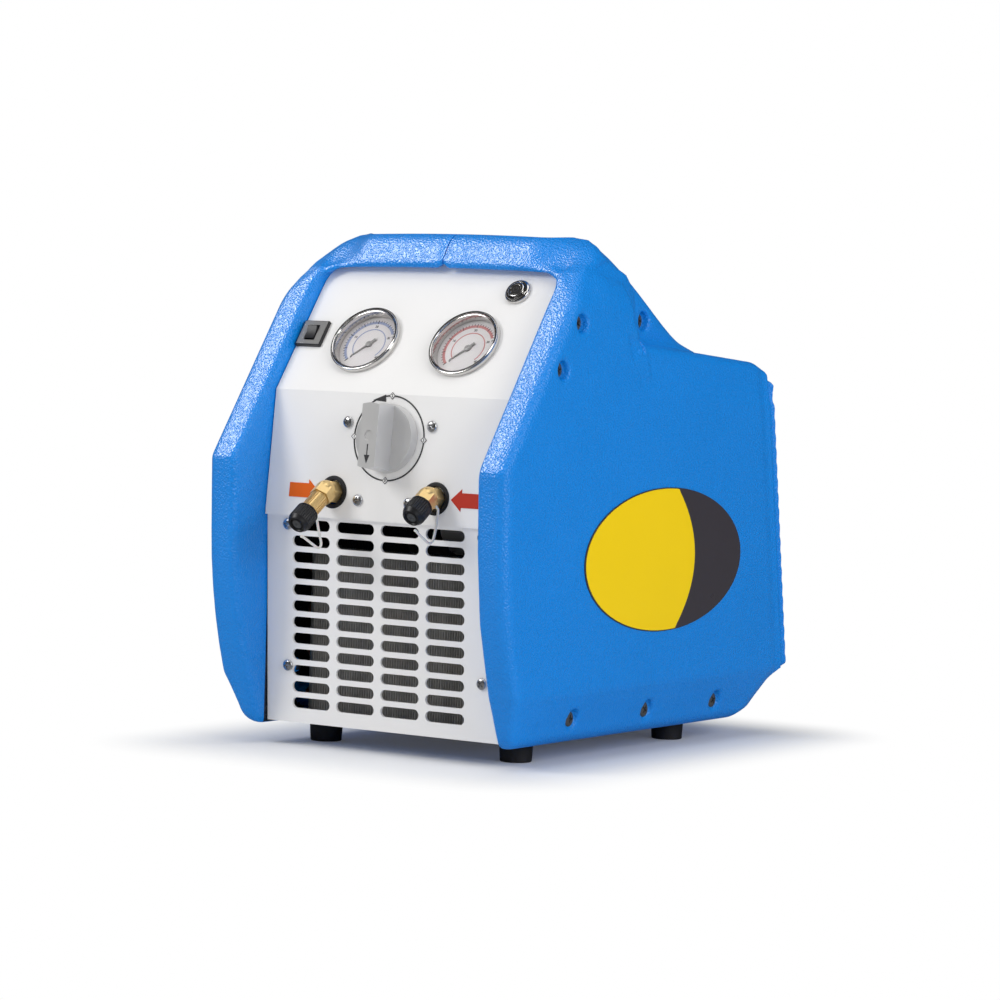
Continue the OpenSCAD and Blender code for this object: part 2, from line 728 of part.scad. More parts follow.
plate_inset = 0.8;
breaker_deep = 24;
module breaker_frame() {
    color(cap_black) on_gauge() translate([breaker_x, breaker_up, 0]) difference() {
        union() {
            translate([-breaker_w / 2, -breaker_h / 2, 0]) cube([breaker_w, breaker_h, frame_h]);
            translate([-breaker_w / 2 + sheet + snug, -breaker_h / 2 + sheet + snug, -breaker_deep])
                cube([breaker_w - 2 * (sheet + snug), breaker_h - 2 * (sheet + snug), breaker_deep + over]);
        }
        translate([0, 0, -rocker_r - over]) rocker_space(breaker_deep + frame_h);
        rotate([0, 90, 0]) translate([0, 0, -rocker_w / 2 - over])
            cylinder(h = rocker_w + 2 * over, r = needle_pin_r + stem_gap, $fn = 24);
    }
}
module rocker_space(deep) {
    translate([-rocker_w / 2 - knob_gap, -rocker_len / 2 - knob_gap, 0])
        cube([rocker_w + 2 * knob_gap, rocker_len + 2 * knob_gap, deep]);
}
module breaker_plate() {
    color(steel) on_gauge() translate([breaker_x, breaker_up, frame_h]) difference() {
        translate([-breaker_w / 2 + plate_inset, -breaker_h / 2 + plate_inset, 0])
            cube([breaker_w - 2 * plate_inset, breaker_h - 2 * plate_inset, plate_t]);
        translate([0, 0, -over]) rocker_space(plate_t + 2 * over);
    }
}
rocker_tilt = 8;
module breaker_rocker() {
    color(cap_black) on_gauge() translate([breaker_x, breaker_up, 0]) rotate([rocker_tilt, 0, 0]) {
        rotate([0, 90, 0]) translate([0, 0, -rocker_w / 2 - over + snug])
            cylinder(h = rocker_w + 2 * (over - snug), r = needle_pin_r, $fn = 24);
        translate([-rocker_w / 2, 0, 0]) rotate([90, 0, 90]) linear_extrude(height = rocker_w)
            polygon([[-rocker_len / 2 + over, -rocker_t], [rocker_len / 2 - over, -rocker_t],
                [rocker_len / 2 - over, rocker_t], [0, rocker_t - over], [-rocker_len / 2 + over, rocker_t]]);
    }
}

// Ports: brass fittings screwed into the valve block, with caps on tethers
shank_len = 16;
shank_r = 5;
cone_len = 2.5;
cap_wall_end = 3;
function thread_start(side) = side < 0 ? hex_h + filter_len : hex_h;
elbow_share = 0.545;
module fitting(side) {
    start = thread_start(side);
    color(brass_yellow) {
        on_knob() translate([side * port_x, port_up, 0]) {
            translate([0, 0, -shank_len - sheet]) cylinder(h = shank_len + sheet + over, r = shank_r);
            cylinder(h = elbow_out, r = hex_af / 2 / cos(30), $fn = 6);
        }
        on_port(side) {
            sphere(r = hex_af * elbow_share, $fn = 24);
            rotate([0, 0, 30]) cylinder(h = hex_h, r = hex_af / 2 / cos(30), $fn = 6);
            if (side < 0) {
                translate([0, 0, hex_h - over]) knurl(filter_len + over, hex_af / 2 - over / 2);
            }
            difference() {
                translate([0, 0, start - over]) cylinder(h = thread_len + over, r = thread_r);
                translate([0, 0, start + over]) cylinder(h = thread_len, r = thread_r - cone_len);
            }
        }
    }
}
grommet_gap = 0.3;
grommet_lip = 1.4;
module port_grommets() {
    color(cap_black) on_knob() for (s = [-1, 1]) translate([s * port_x, port_up, -sheet])
        rotate_extrude() polygon([[grommet_in, 0], [port_hole_r, 0], [port_hole_r, sheet],
            [port_hole_r + grommet_lip, sheet], [port_hole_r + grommet_lip, sheet + over / 2],
            [port_hole_r, sheet + over], [grommet_in, sheet + over]]);
}
grommet_in = hex_af / 2 / cos(30) + grommet_gap;
knurls = 24;
module knurl(h, r) {
    cylinder(h = h, r = r - over / 2);
    for (i = [0:knurls - 1]) rotate([0, 0, 360 * i / knurls])
        translate([r - over, -over / 2, 2 * over]) cube([over, over, h - 3 * over]);
}
cap_ribs = 20;
cap_len = thread_len + cap_wall_end;
cap_rim = 2;
module port_cap(side) {
    color(cap_black) on_port(side) translate([0, 0, thread_start(side) + knob_gap]) difference() {
        union() {
            cylinder(h = cap_len, r = cap_r - over / 2);
            cylinder(h = cap_rim, r = cap_r);
            for (i = [0:cap_ribs - 1]) rotate([0, 0, 360 * i / cap_ribs])
                translate([cap_r - over, -over / 2, 0]) cube([over, over, cap_len - over]);
        }
        translate([0, 0, -over]) cylinder(h = thread_len + over + knob_gap, r = thread_r + cap_gap);
    }
}
module inlet_fitting() { fitting(-1); }
module outlet_fitting() { fitting(1); }
module inlet_cap() { port_cap(-1); }
module outlet_cap() { port_cap(1); }

// Tether routes, in port coordinates: right, up the panel, out
inlet_route = [[0, -5.8, 17], [0, -8.5, 17.6], [0, -12.7, 19.3], [0, -21, 21.6], [0, -27, 23], [0, -28.9, 24.8],
    [0, -28.6, 27.2], [0, -25.9, 29.6], [0, -18, 34], [0, -11.6, 37.6], [0, -9.9, 39.2]];
outlet_route = [[5.5, -4.6, 2], [5.6, -7.5, 1], [5, -11.1, 1.2], [4, -20.6, 9], [3.4, -24.8, 13.6], [2.8, -25.6, 16.2],
    [2.2, -24, 18.6], [1, -15, 22.2], [0, -10.6, 23.2], [0, -9.9, 24]];
cord_sides = 8;
module cord(route) {
    n = len(route);
    dirs = [for (i = [0:n - 1]) unit3(route[min(i + 1, n - 1)] - route[max(i - 1, 0)])];
    side0 = unit3(cross(dirs[0], [0, 0, 1]));
    pts = [for (i = [0:n - 1]) let (a = unit3(cross(dirs[i], [0.3, 0.2, 1])), b = cross(dirs[i], a))
        for (k = [0:cord_sides - 1]) route[i] + tether_r * (cos(360 * k / cord_sides) * a
            + sin(360 * k / cord_sides) * b)];
    skin = [for (i = [0:n - 2]) for (k = [0:cord_sides - 1]) let (j = (k + 1) % cord_sides)
        each quad(cord_sides * i + k, cord_sides * i + j, cord_sides * (i + 1) + j, cord_sides * (i + 1) + k)];
    ends = [[for (k = [cord_sides - 1:-1:0]) k], [for (k = [0:cord_sides - 1]) cord_sides * (n - 1) + k]];
    polyhedron(pts, concat(skin, ends), convexity = 6);
}
function unit3(v) = v / norm(v);
module inlet_tether() {
    color(pale) on_port(-1) cord(inlet_route);
}
module outlet_tether() {
    color(pale) on_port(1) cord(outlet_route);
}

// Flow arrows beside the ports
arrow_t = 0.4;
arrow_len = 25;
arrow_head = 8.6;
arrow_h = 15.4;
arrow_body_h = 10;
arrow_at = 68.3;
module arrow_plate() {
    linear_extrude(height = arrow_t)
        polygon([[-arrow_len / 2, -arrow_body_h / 2], [arrow_len / 2 - arrow_head, -arrow_body_h / 2],
            [arrow_len / 2 - arrow_head, -arrow_h / 2], [arrow_len / 2, 0], [arrow_len / 2 - arrow_head, arrow_h / 2],
            [arrow_len / 2 - arrow_head, arrow_body_h / 2], [-arrow_len / 2, arrow_body_h / 2]]);
}
module inlet_arrow() {
    color([0.95, 0.45, 0.05]) on_knob() translate([-arrow_at, port_up, 0]) arrow_plate();
}
module outlet_arrow() {
    color([0.8, 0.1, 0.08]) on_knob() translate([arrow_at, port_up, 0]) rotate([0, 0, 180])
        arrow_plate();
}

module pan_screw(len) {
    rotate_extrude($fn = 24) polygon([[0, 0], [screw_head_r, 0], [screw_head_r, screw_head_h / 3],
        [screw_head_r / 2, screw_head_h], [0, screw_head_h]]);
    translate([0, 0, -len]) cylinder(h = len + snug, r = screw_r - snug, $fn = 16);
}
panel_screw_reach = 2.5;
module panel_screws() {
    color(steel) {
        on_knob() for (s = [-1, 1]) {
            translate([s * knob_screw_x, knob_screw_up, 0]) pan_screw(panel_screw_reach);
            translate([s * low_screw_x, low_screw_up, 0]) pan_screw(panel_screw_reach);
        }
        on_grille() for (s = [-1, 1]) for (z = [grille_screw_low, grille_screw_high])
            translate([s * grille_screw_x, z - ledge_z, 0]) pan_screw(panel_screw_reach);
    }
}

module shell_screws() {
    color(steel) for (s = [0, 1]) mirror([s, 0, 0]) {
        for (i = [0:len(side_screws) - 1]) side_screw(side_screws[i], screw_wall_x(i));
        side_screw(neck_screw, neck_half_w);
    }
}
module side_screw(place, x) {
    translate([x - bore_depth, front_y + place[0], place[1]]) rotate([0, 90, 0])
        rotate_extrude($fn = 24) polygon([[0, 0], [bore_r - over, 0], [bore_r - over, screw_head_h / 2],
            [bore_r / 2, screw_head_h], [0, screw_head_h]]);
}

// Oval badge on each side wall
badge_len = 209;
badge_h = 101;
badge_at = 203.5;
badge_z = 137;
badge_t = 0.8;
module side_badges() {
    color(pale) for (s = [0, 1]) mirror([s, 0, 0])
        translate([half_w, front_y + badge_at, badge_z]) rotate([90, 0, 90])
            scale([badge_len / badge_h, 1, 1]) cylinder(h = badge_t, r = badge_h / 2, $fn = 96);
}

// Finger pocket sunk in the neck's slope
pocket_back = 174;
pocket_y = front_y + pocket_back;
pocket_lean = 36;
pocket_r = 12;
pocket_wall = 2.5;
module on_pocket() {
    translate([0, pocket_y, neck_top(pocket_y)]) rotate([-pocket_lean, 0, 0]) children();
}
module pocket_box(grow, depth, up) {
    translate([0, 0, -depth]) linear_extrude(height = depth + up)
        offset(r = pocket_r + grow) square([pocket_w - 2 * pocket_r, pocket_d - 2 * pocket_r], center = true);
}
module pocket_cut() {
    on_pocket() pocket_box(pocket_wall, 4 * wall, 4 * wall);
}
module grip_pocket() {
    color(dark) on_pocket() difference() {
        pocket_box(pocket_wall - snug, pocket_depth, -over);
        pocket_box(0, pocket_depth - pocket_wall, over);
    }
}

// Condenser between the grille and the fan
cond_gap = 4;
cond_y = grille_foot_y + cond_gap;
cond_z0 = ground_gap + wall + tray_t;
coil_rows = 4;
coil_cols = 2;
coil_pitch = cond_h / coil_rows;
end_t = 1.5;
module condenser_fins() {
    color(steel) difference() {
        for (x = [-cond_w / 2 + fin_pitch:fin_pitch:cond_w / 2 - fin_pitch])
            translate([x, cond_y, cond_z0 + end_t]) cube([fin_t, cond_d, cond_h - 2 * end_t]);
        coil_runs(coil_r, cond_w);
    }
}
module coil_runs(r, len) {
    for (i = [0:coil_rows - 1]) for (j = [0:coil_cols - 1])
        translate([-len / 2, cond_y + cond_d * (j + 0.5) / coil_cols, cond_z0 + coil_pitch * (i + 0.5)])
            rotate([0, 90, 0]) cylinder(h = len, r = r, $fn = 20);
}
module condenser_ends() {
    color(steel) difference() {
        for (s = [-1, 1]) translate([s * (cond_w / 2) - end_t / 2, cond_y - end_t, cond_z0])
            cube([end_t, cond_d + 2 * end_t, cond_h]);
        coil_runs(coil_r, body_w - 4 * wall);
    }
}
module condenser_coil() {
    color([0.72, 0.45, 0.2]) {
        coil_runs(coil_r, cond_w + 2 * end_t);
        for (s = [-1, 1]) for (i = [0:coil_rows - 1])
            translate([s * (cond_w / 2 + end_t), cond_y + cond_d / 2, cond_z0 + coil_pitch * (i + 0.5)])
                rotate([0, 0, s * -90]) u_bend(cond_d / 2 / coil_cols);
    }
}
module u_bend(r) {
    rotate_extrude(angle = 180, $fn = 32) translate([r, 0]) circle(r = coil_r, $fn = 20);
}

// Fan, motor and compressor on one shaft line
fan_gap = 8.7;
fan_y = cond_y + cond_d + fan_gap;
fan_depth = 22;
fan_hub_r = 20;
blade_t = 2;
blade_twist = 32;
motor_y = fan_y + fan_depth + 2 * cond_gap;
crank_y = motor_y + motor_len + cond_gap;
module cooling_fan() {
    color(dark) translate([0, fan_y, shaft_z]) rotate([-90, 0, 0]) difference() {
        union() {
            cylinder(h = fan_depth, r = fan_hub_r);
            for (i = [0:fan_blades - 1]) rotate([0, 0, 360 * i / fan_blades])
                translate([fan_hub_r - over, 0, fan_depth / 2]) rotate([blade_twist, 0, 0])
                    translate([0, -fan_hub_r * 0.7, -blade_t / 2]) cube([fan_r - fan_hub_r, fan_hub_r * 1.4, blade_t]);
        }
        translate([0, 0, -over]) cylinder(h = fan_depth + 2 * over, r = shaft_r);
    }
}
module motor_shaft() {
    color(steel) translate([0, fan_y - over, shaft_z]) rotate([-90, 0, 0])
        cylinder(h = crank_y + crank_d / 2 - fan_y, r = shaft_r);
    color(steel) translate([0, motor_y + bell_t + cond_gap, shaft_z]) rotate([-90, 0, 0])
        cylinder(h = motor_len - 2 * bell_t - 2 * cond_gap, r = motor_r / 2);
}
bell_t = 14;
stator_gap = 1;
module motor_case() {
    color([0.35, 0.37, 0.4]) difference() {
        union() {
            translate([0, motor_y + bell_t, shaft_z]) rotate([-90, 0, 0])
                cylinder(h = motor_len - 2 * bell_t, r = motor_r);
            for (i = [-1:2:1]) translate([i * motor_r * 0.6 - bell_t / 2, motor_y + bell_t, cond_z0])
                cube([bell_t, motor_len - 2 * bell_t, shaft_z - cond_z0 - motor_r * 0.6]);
        }
        translate([0, motor_y, shaft_z]) rotate([-90, 0, 0])
            cylinder(h = motor_len, r = motor_r / 2 + stator_gap);
    }
}
module motor_end_bells() {
    color(steel) difference() {
        for (y = [motor_y, motor_y + motor_len - bell_t]) translate([0, y, shaft_z]) rotate([-90, 0, 0])
            cylinder(h = bell_t, r = motor_r - over);
        translate([0, motor_y - over, shaft_z]) rotate([-90, 0, 0])
            cylinder(h = motor_len + 2 * over, r = shaft_r + shaft_gap);
    }
}
crank_half_h = 42;
module crankcase() {
    color([0.55, 0.57, 0.6]) difference() {
        union() {
            translate([-crank_w / 2, crank_y, cond_z0]) cube([crank_w, crank_d, shaft_z + crank_half_h - cond_z0]);
            for (s = [-1, 1]) translate([s * crank_w / 2, crank_y + crank_d / 2, shaft_z]) rotate([0, s * 90, 0])
                cylinder(h = over, r = cyl_r - over);
        }
        translate([0, crank_y - over, shaft_z]) rotate([-90, 0, 0])
            cylinder(h = crank_d / 2 + 3 * over, r = shaft_r + shaft_gap);
    }
}
cyl_fins = 6;
module cylinder_heads() {
    color(steel) for (s = [-1, 1])
        translate([s * (crank_w / 2 + over), crank_y + crank_d / 2, shaft_z]) rotate([0, s * 90, 0]) {
            cylinder(h = cyl_len, r = cyl_r * 0.75);
            for (i = [0:cyl_fins - 1]) translate([0, 0, i * cyl_len / cyl_fins])
                cylinder(h = cyl_len / cyl_fins / 2, r = cyl_r);
            translate([0, 0, cyl_len - wall]) cylinder(h = wall, r = cyl_r);
        }
}

// Base tray inside the shell, carried by four feet
tray_edge = 14;
module base_tray() {
    color(steel) difference() {
        translate([-half_w + tray_edge + tuck, front_y + grille_inset + 2 * tray_edge, ground_gap + wall])
            cube([body_w - 2 * (tray_edge + tuck), body_d - grille_inset - 7 * tray_edge, tray_t]);
        for (x = [-1, 1]) for (y = [0, 1])
            translate([x * foot_x, front_y + foot_inset + y * foot_span, 0])
                cylinder(h = 3 * ground_gap, r = screw_r + snug);
    }
}
foot_stud_r = screw_r;
foot_h = ground_gap;
module feet() {
    color(cap_black) for (x = [-1, 1]) for (y = [0, 1])
        translate([x * foot_x, front_y + foot_inset + y * foot_span, 0]) {
            cylinder(h = foot_h, r1 = foot_r, r2 = foot_r + over);
            cylinder(h = foot_h + wall + tray_t + over, r = foot_stud_r);
        }
}
module tray_slots() {
    for (y = [0, 1]) translate([foot_x, front_y + foot_inset + y * foot_span, ground_gap - over])
        cylinder(h = wall + 2 * over, r = foot_stud_r + snug);
}

// Copper pipes from the valve block to the compressor heads and the condenser
pipe_r = 3.2;
module pipe(route) {
    for (i = [0:len(route) - 2]) let (d = route[i + 1] - route[i], l = norm(d)) {
        translate(route[i]) rotate([0, acos(d[2] / l), atan2(d[1], d[0])]) cylinder(h = l, r = pipe_r, $fn = 16);
        if (i < len(route) - 2) translate(route[i + 1]) sphere(r = pipe_r + snug / 2, $fn = 16);
    }
}
block_rear_y = knob_y0 + block_d + 2 * sheet + knob_up / 2 * tan(knob_lean);
pipe_z = ledge_z + knob_up / 2;
pipe_x = block_w / 2 - 2 * pipe_r;
head_x = crank_w / 2 + cyl_len / 2;
module refrigerant_pipes() {
    color([0.72, 0.45, 0.2]) for (s = [-1, 1])
        pipe([[s * pipe_x, block_rear_y - pipe_r, pipe_z], [s * pipe_x, block_rear_y + block_d, pipe_z],
            [s * head_x, crank_y + crank_d / 2, pipe_z], [s * head_x, crank_y + crank_d / 2, shaft_z + cyl_r - over]]);
}
switch_r = 13;
switch_h = 30;
module pressure_switch() {
    color(brass_yellow) on_knob() translate([0, port_up, -sheet - block_d - switch_h]) {
        cylinder(h = switch_h / 2, r = switch_r);
        cylinder(h = switch_h, r = switch_r / 2);
    }
}
cap_can_r = 18;
cap_can_len = 60;
module run_capacitor() {
    color(pale) translate([0, motor_y + cond_gap, shaft_z + motor_r + cap_can_r + over]) rotate([-90, 0, 0])
        cylinder(h = cap_can_len, r = cap_can_r);
    color(steel) translate([-cap_can_r / 2, motor_y + bell_t + over, shaft_z + motor_r])
        cube([cap_can_r, cap_can_len / 2, 3 * over]);
}

// Rear panel with a fan guard and the power inlet
rear_mid_y = wall_rear_y(rear_mid_z);
module on_rear() {
    translate([0, rear_mid_y, rear_mid_z]) rotate([-90 + rear_lean, 0, 0]) children();
}
rear_corner_r = 8;
module rear_plate(grow, t) {
    linear_extrude(height = t) offset(r = rear_corner_r + grow)
        square([rear_w - 2 * rear_corner_r, rear_h - 2 * rear_corner_r], center = true);
}
module rear_cut() {
    on_rear() translate([0, 0, -2 * wall]) rear_plate(snug, 4 * wall);
}
guard_y = 18;
guard_up = 22;
inlet_down = 48;
module rear_panel() {
    color(dark) on_rear() translate([0, 0, -wall]) difference() {
        rear_plate(0, sheet);
        translate([0, -guard_up, -over]) cylinder(h = sheet + 2 * over, r = guard_r);
        translate([-inlet_w / 2, inlet_down - inlet_h / 2, -over]) cube([inlet_w, inlet_h, sheet + 2 * over]);
    }
}
guard_rings = 5;
guard_spokes = 8;
wire_r = 1;
module fan_guard() {
    color(steel) on_rear() translate([0, -guard_up, -wall + sheet + wire_r]) {
        for (i = [1:guard_rings]) rotate_extrude() translate([guard_r * i / guard_rings + wire_r / 2, 0])
            circle(r = wire_r, $fn = 12);
        for (i = [0:guard_spokes / 2 - 1]) rotate([0, 90, 180 * i / guard_spokes * 2])
            cylinder(h = 2 * guard_r + 2 * wire_r, r = wire_r, center = true, $fn = 12);
    }
}
socket_deep = 22;
socket_wall = 2;
module power_inlet() {
    color(cap_black) on_rear() translate([0, inlet_down, -wall + sheet]) difference() {
        union() {
            translate([-inlet_w / 2 - 3 * socket_wall, -inlet_h / 2 - socket_wall, 0])
                cube([inlet_w + 6 * socket_wall, inlet_h + 2 * socket_wall, socket_wall]);
            translate([-inlet_w / 2 + snug, -inlet_h / 2 + snug, -socket_deep])
                cube([inlet_w - 2 * snug, inlet_h - 2 * snug, socket_deep + over]);
        }
        translate([-inlet_w / 2 + socket_wall, -inlet_h / 2 + socket_wall, -socket_deep + socket_wall])
            cube([inlet_w - 2 * socket_wall, inlet_h - 2 * socket_wall, socket_deep + 2 * socket_wall]);
    }
}
pin_len = 14;
pin_w = 2;
pin_h = 5;
module inlet_pins() {
    color(steel) on_rear() translate([0, inlet_down, -wall + sheet - socket_deep + socket_wall])
        for (p = [[-1, 0], [0, -1], [1, 0]])
            translate([p[0] * inlet_w / 4 - pin_w / 2, p[1] * inlet_h / 6 - pin_h / 2, 0])
                cube([pin_w, pin_h, pin_len]);
}

left_shell();
right_shell();
front_panel();
grille_panel();
dial_ring();
selector_knob();
knob_pointer();
valve_stem();
valve_block();
low_gauge_case();
low_gauge_dial();
low_gauge_needle();
low_gauge_lens();
high_gauge_case();
high_gauge_dial();
high_gauge_needle();
high_gauge_lens();
start_collar();
start_button();
breaker_frame();
breaker_plate();
breaker_rocker();
port_grommets();
inlet_fitting();
inlet_cap();
inlet_tether();
inlet_arrow();
outlet_fitting();
outlet_cap();
outlet_tether();
outlet_arrow();
panel_screws();
shell_screws();
side_badges();
grip_pocket();
condenser_fins();
condenser_ends();
condenser_coil();
cooling_fan();
motor_shaft();
motor_case();
motor_end_bells();
crankcase();
cylinder_heads();
base_tray();
feet();
refrigerant_pipes();
pressure_switch();
run_capacitor();
rear_panel();
fan_guard();
power_inlet();
inlet_pins();
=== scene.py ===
"""Looks of the portable refrigerant recovery machine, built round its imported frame."""

import json
import math

import bmesh
import bpy
from mathutils import Matrix, Vector

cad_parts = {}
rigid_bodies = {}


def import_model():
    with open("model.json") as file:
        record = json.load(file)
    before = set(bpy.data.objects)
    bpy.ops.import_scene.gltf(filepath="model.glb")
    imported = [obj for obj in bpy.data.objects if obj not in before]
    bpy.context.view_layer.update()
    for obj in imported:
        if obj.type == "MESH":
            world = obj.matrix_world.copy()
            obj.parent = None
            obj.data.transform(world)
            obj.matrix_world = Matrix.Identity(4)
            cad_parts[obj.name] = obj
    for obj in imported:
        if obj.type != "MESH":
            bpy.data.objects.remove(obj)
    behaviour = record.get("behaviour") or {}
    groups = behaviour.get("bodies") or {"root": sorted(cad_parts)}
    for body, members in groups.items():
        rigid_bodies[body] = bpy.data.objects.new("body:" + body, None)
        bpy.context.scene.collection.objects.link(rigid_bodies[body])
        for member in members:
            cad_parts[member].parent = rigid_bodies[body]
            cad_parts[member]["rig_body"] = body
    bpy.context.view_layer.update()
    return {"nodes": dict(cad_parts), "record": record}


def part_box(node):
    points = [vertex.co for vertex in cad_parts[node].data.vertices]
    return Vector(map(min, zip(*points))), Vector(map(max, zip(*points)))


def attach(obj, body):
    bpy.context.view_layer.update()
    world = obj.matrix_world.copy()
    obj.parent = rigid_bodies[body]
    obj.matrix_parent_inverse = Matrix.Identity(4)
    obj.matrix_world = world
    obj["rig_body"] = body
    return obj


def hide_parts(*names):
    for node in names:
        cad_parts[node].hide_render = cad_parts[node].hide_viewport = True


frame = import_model()
nodes = frame["nodes"]
MM = 0.001

# Places
FRONT_Y = -189.75 * MM  # knee of the front face
LEDGE_Z = 163.5 * MM
KNOB_LEAN, GAUGE_LEAN, GRILLE_LEAN = 6.0, 35.7, 2.54
KNOB_Y = FRONT_Y + 35.9 * MM
FOLD_Z = 249 * MM
FOLD_Y = KNOB_Y + (FOLD_Z - LEDGE_Z) * math.tan(math.radians(KNOB_LEAN))
GRILLE_Y = FRONT_Y + 38.4 * MM
KNOB_UP = 55.6 * MM
GAUGE_X, GAUGE_UP = 41.8 * MM, 43.1 * MM
PORT_X, PORT_UP, PORT_DIP, ELBOW_OUT = 43 * MM, 16.3 * MM, 34.5, 9 * MM


def leaning(y, z, angle):
    """A local frame on a leaning face: X across, Y up the face, Z out of it."""
    return Matrix.Translation((0, y, z)) @ Matrix.Rotation(math.radians(angle), 4, "X")


ON_KNOB = leaning(KNOB_Y, LEDGE_Z, 90 - KNOB_LEAN)
ON_GAUGE = leaning(FOLD_Y, FOLD_Z, 90 - GAUGE_LEAN)
ON_GRILLE = leaning(GRILLE_Y, LEDGE_Z, 90 + GRILLE_LEAN)


def at(place, x, y, z=0.0):
    return place @ Matrix.Translation((x, y, z))


def on_port(side):
    """A port's own frame: it starts at the bend of the fitting, Z runs out along its axis."""
    bend = ON_KNOB @ Vector((side * PORT_X, PORT_UP, ELBOW_OUT))
    return Matrix.Translation(bend) @ Matrix.Rotation(math.radians(90 + PORT_DIP), 4, "X")


# Materials
def math_out(tree, operation, *values, kind="ShaderNodeMath", result="Value"):
    """The result of a math node fed by sockets or plain values."""
    made = tree.nodes.new(kind)
    made.operation = operation
    for socket, value in zip(made.inputs, values):
        if isinstance(value, bpy.types.NodeSocket):
            tree.links.new(value, socket)
        else:
            socket.default_value = value
    return made.outputs[result]


def new_material(name, colour, rough, metal=0.0, **extra):
    """A surface with its own fine relief and slight changes of tone and gloss.

    grain is (size of one grain in metres, depth in metres), tone the share by which colour wanders,
    scale the size of that wandering; streak stretches the relief along one axis, as turning and brushing do.
    """
    grain_size, grain_depth = extra.get("grain", (0.0008, 0.00002))
    tone = extra.get("tone", 0.06)
    wander = extra.get("scale", 0.03)
    mat = bpy.data.materials.new(name)
    mat.use_nodes = True
    tree = mat.node_tree
    node, link = tree.nodes.new, tree.links.new
    shader = tree.nodes["Principled BSDF"]
    shader.inputs["Metallic"].default_value = metal
    for socket, value in extra.get("sockets", {}).items():
        shader.inputs[socket].default_value = value
    place = node("ShaderNodeTexCoord")
    stretch = node("ShaderNodeMapping")
    stretch.inputs["Scale"].default_value = extra.get("streak", (1, 1, 1))
    link(place.outputs["Object"], stretch.inputs["Vector"])
    cloud = node("ShaderNodeTexNoise")
    cloud.inputs["Scale"].default_value = 1 / wander
    cloud.inputs["Detail"].default_value = 4
    link(place.outputs["Object"], cloud.inputs["Vector"])
    shade = node("ShaderNodeMix")
    shade.data_type = "RGBA"
    shade.inputs[6].default_value = (*[c * (1 - tone) for c in colour], 1)
    shade.inputs[7].default_value = (*[min(1, c * (1 + tone)) for c in colour], 1)
    link(cloud.outputs["Fac"], shade.inputs[0])
    link(shade.outputs[2], shader.inputs["Base Color"])
    gloss = node("ShaderNodeMapRange")
    gloss.inputs["To Min"].default_value = max(0.02, rough - 0.06)
    gloss.inputs["To Max"].default_value = min(1.0, rough + 0.06)
    link(cloud.outputs["Fac"], gloss.inputs["Value"])
    link(gloss.outputs["Result"], shader.inputs["Roughness"])
    if extra.get("pebbles"):
        relief = node("ShaderNodeTexVoronoi")
        relief.feature = "SMOOTH_F1"
        relief.inputs["Smoothness"].default_value = 0.6
        height = relief.outputs["Distance"]
    else:
        relief = node("ShaderNodeTexNoise")
        relief.inputs["Detail"].default_value = 3
        height = relief.outputs["Fac"]
    relief.inputs["Scale"].default_value = 1 / grain_size
    link(stretch.outputs["Vector"], relief.inputs["Vector"])
    bump = node("ShaderNodeBump")
    bump.inputs["Strength"].default_value = extra.get("strength", 0.5)
    bump.inputs["Distance"].default_value = grain_depth
    link(height, bump.inputs["Height"])
    link(bump.outputs["Normal"], shader.inputs["Normal"])
    return mat


SHELL = new_material("shell", (0.0, 0.245, 0.80), 0.37, grain=(0.0014, 0.0006), pebbles=True, strength=0.9,
                     tone=0.04, scale=0.05, sockets={"Specular IOR Level": 0.45})
PANEL = new_material("panel", (0.93, 0.92, 0.91), 0.42, grain=(0.0006, 0.00003), tone=0.015, strength=0.4,
                     sockets={"Specular IOR Level": 0.25})
REAR = new_material("rear_sheet", (0.035, 0.035, 0.04), 0.5, grain=(0.0007, 0.00006), strength=0.6)
KNOB = new_material("knob", (0.66, 0.655, 0.65), 0.3, 0.4, grain=(0.0006, 0.00004), tone=0.04, strength=0.5)
INK = new_material("ink", (0.03, 0.03, 0.033), 0.5, grain=(0.0004, 0.00001), tone=0.1)
CHROME = new_material("chrome", (0.66, 0.645, 0.63), 0.15, 1.0, grain=(0.002, 0.00001), tone=0.02,
                      strength=0.2)
STEEL = new_material("steel", (0.62, 0.62, 0.63), 0.28, 1.0, grain=(0.0005, 0.00002), tone=0.06)
BRASS = new_material("brass", (0.86, 0.62, 0.28), 0.36, 0.85, grain=(0.0007, 0.00003), tone=0.10, scale=0.004)
COPPER = new_material("copper", (0.72, 0.34, 0.20), 0.30, 1.0, grain=(0.001, 0.00003), tone=0.12, scale=0.01)
ALUMINIUM = new_material("aluminium", (0.55, 0.56, 0.57), 0.42, 1.0, grain=(0.0006, 0.00005), tone=0.06)
FINS = new_material("fins", (0.55, 0.54, 0.52), 0.5, 0.35, grain=(0.0008, 0.00008), tone=0.3, scale=0.006)
BLACK = new_material("black_plastic", (0.012, 0.012, 0.014), 0.38, grain=(0.0007, 0.00004), tone=0.15)
RUBBER = new_material("rubber", (0.012, 0.012, 0.014), 0.62, grain=(0.0009, 0.00008), tone=0.2)
TETHER = new_material("tether", (0.80, 0.79, 0.76), 0.45, grain=(0.0006, 0.00003), tone=0.03,
                      sockets={"Subsurface Weight": 0.15, "Subsurface Scale": 0.001})
ORANGE = new_material("orange_print", (0.82, 0.14, 0.012), 0.55, grain=(0.0005, 0.00002), tone=0.05,
                      sockets={"Specular IOR Level": 0.15})
RED = new_material("red_print", (0.56, 0.045, 0.025), 0.55, grain=(0.0005, 0.00002), tone=0.05,
                   sockets={"Specular IOR Level": 0.15})
BLUE_INK = new_material("blue_print", (0.27, 0.31, 0.47), 0.5, grain=(0.0004, 0.00001), tone=0.08)
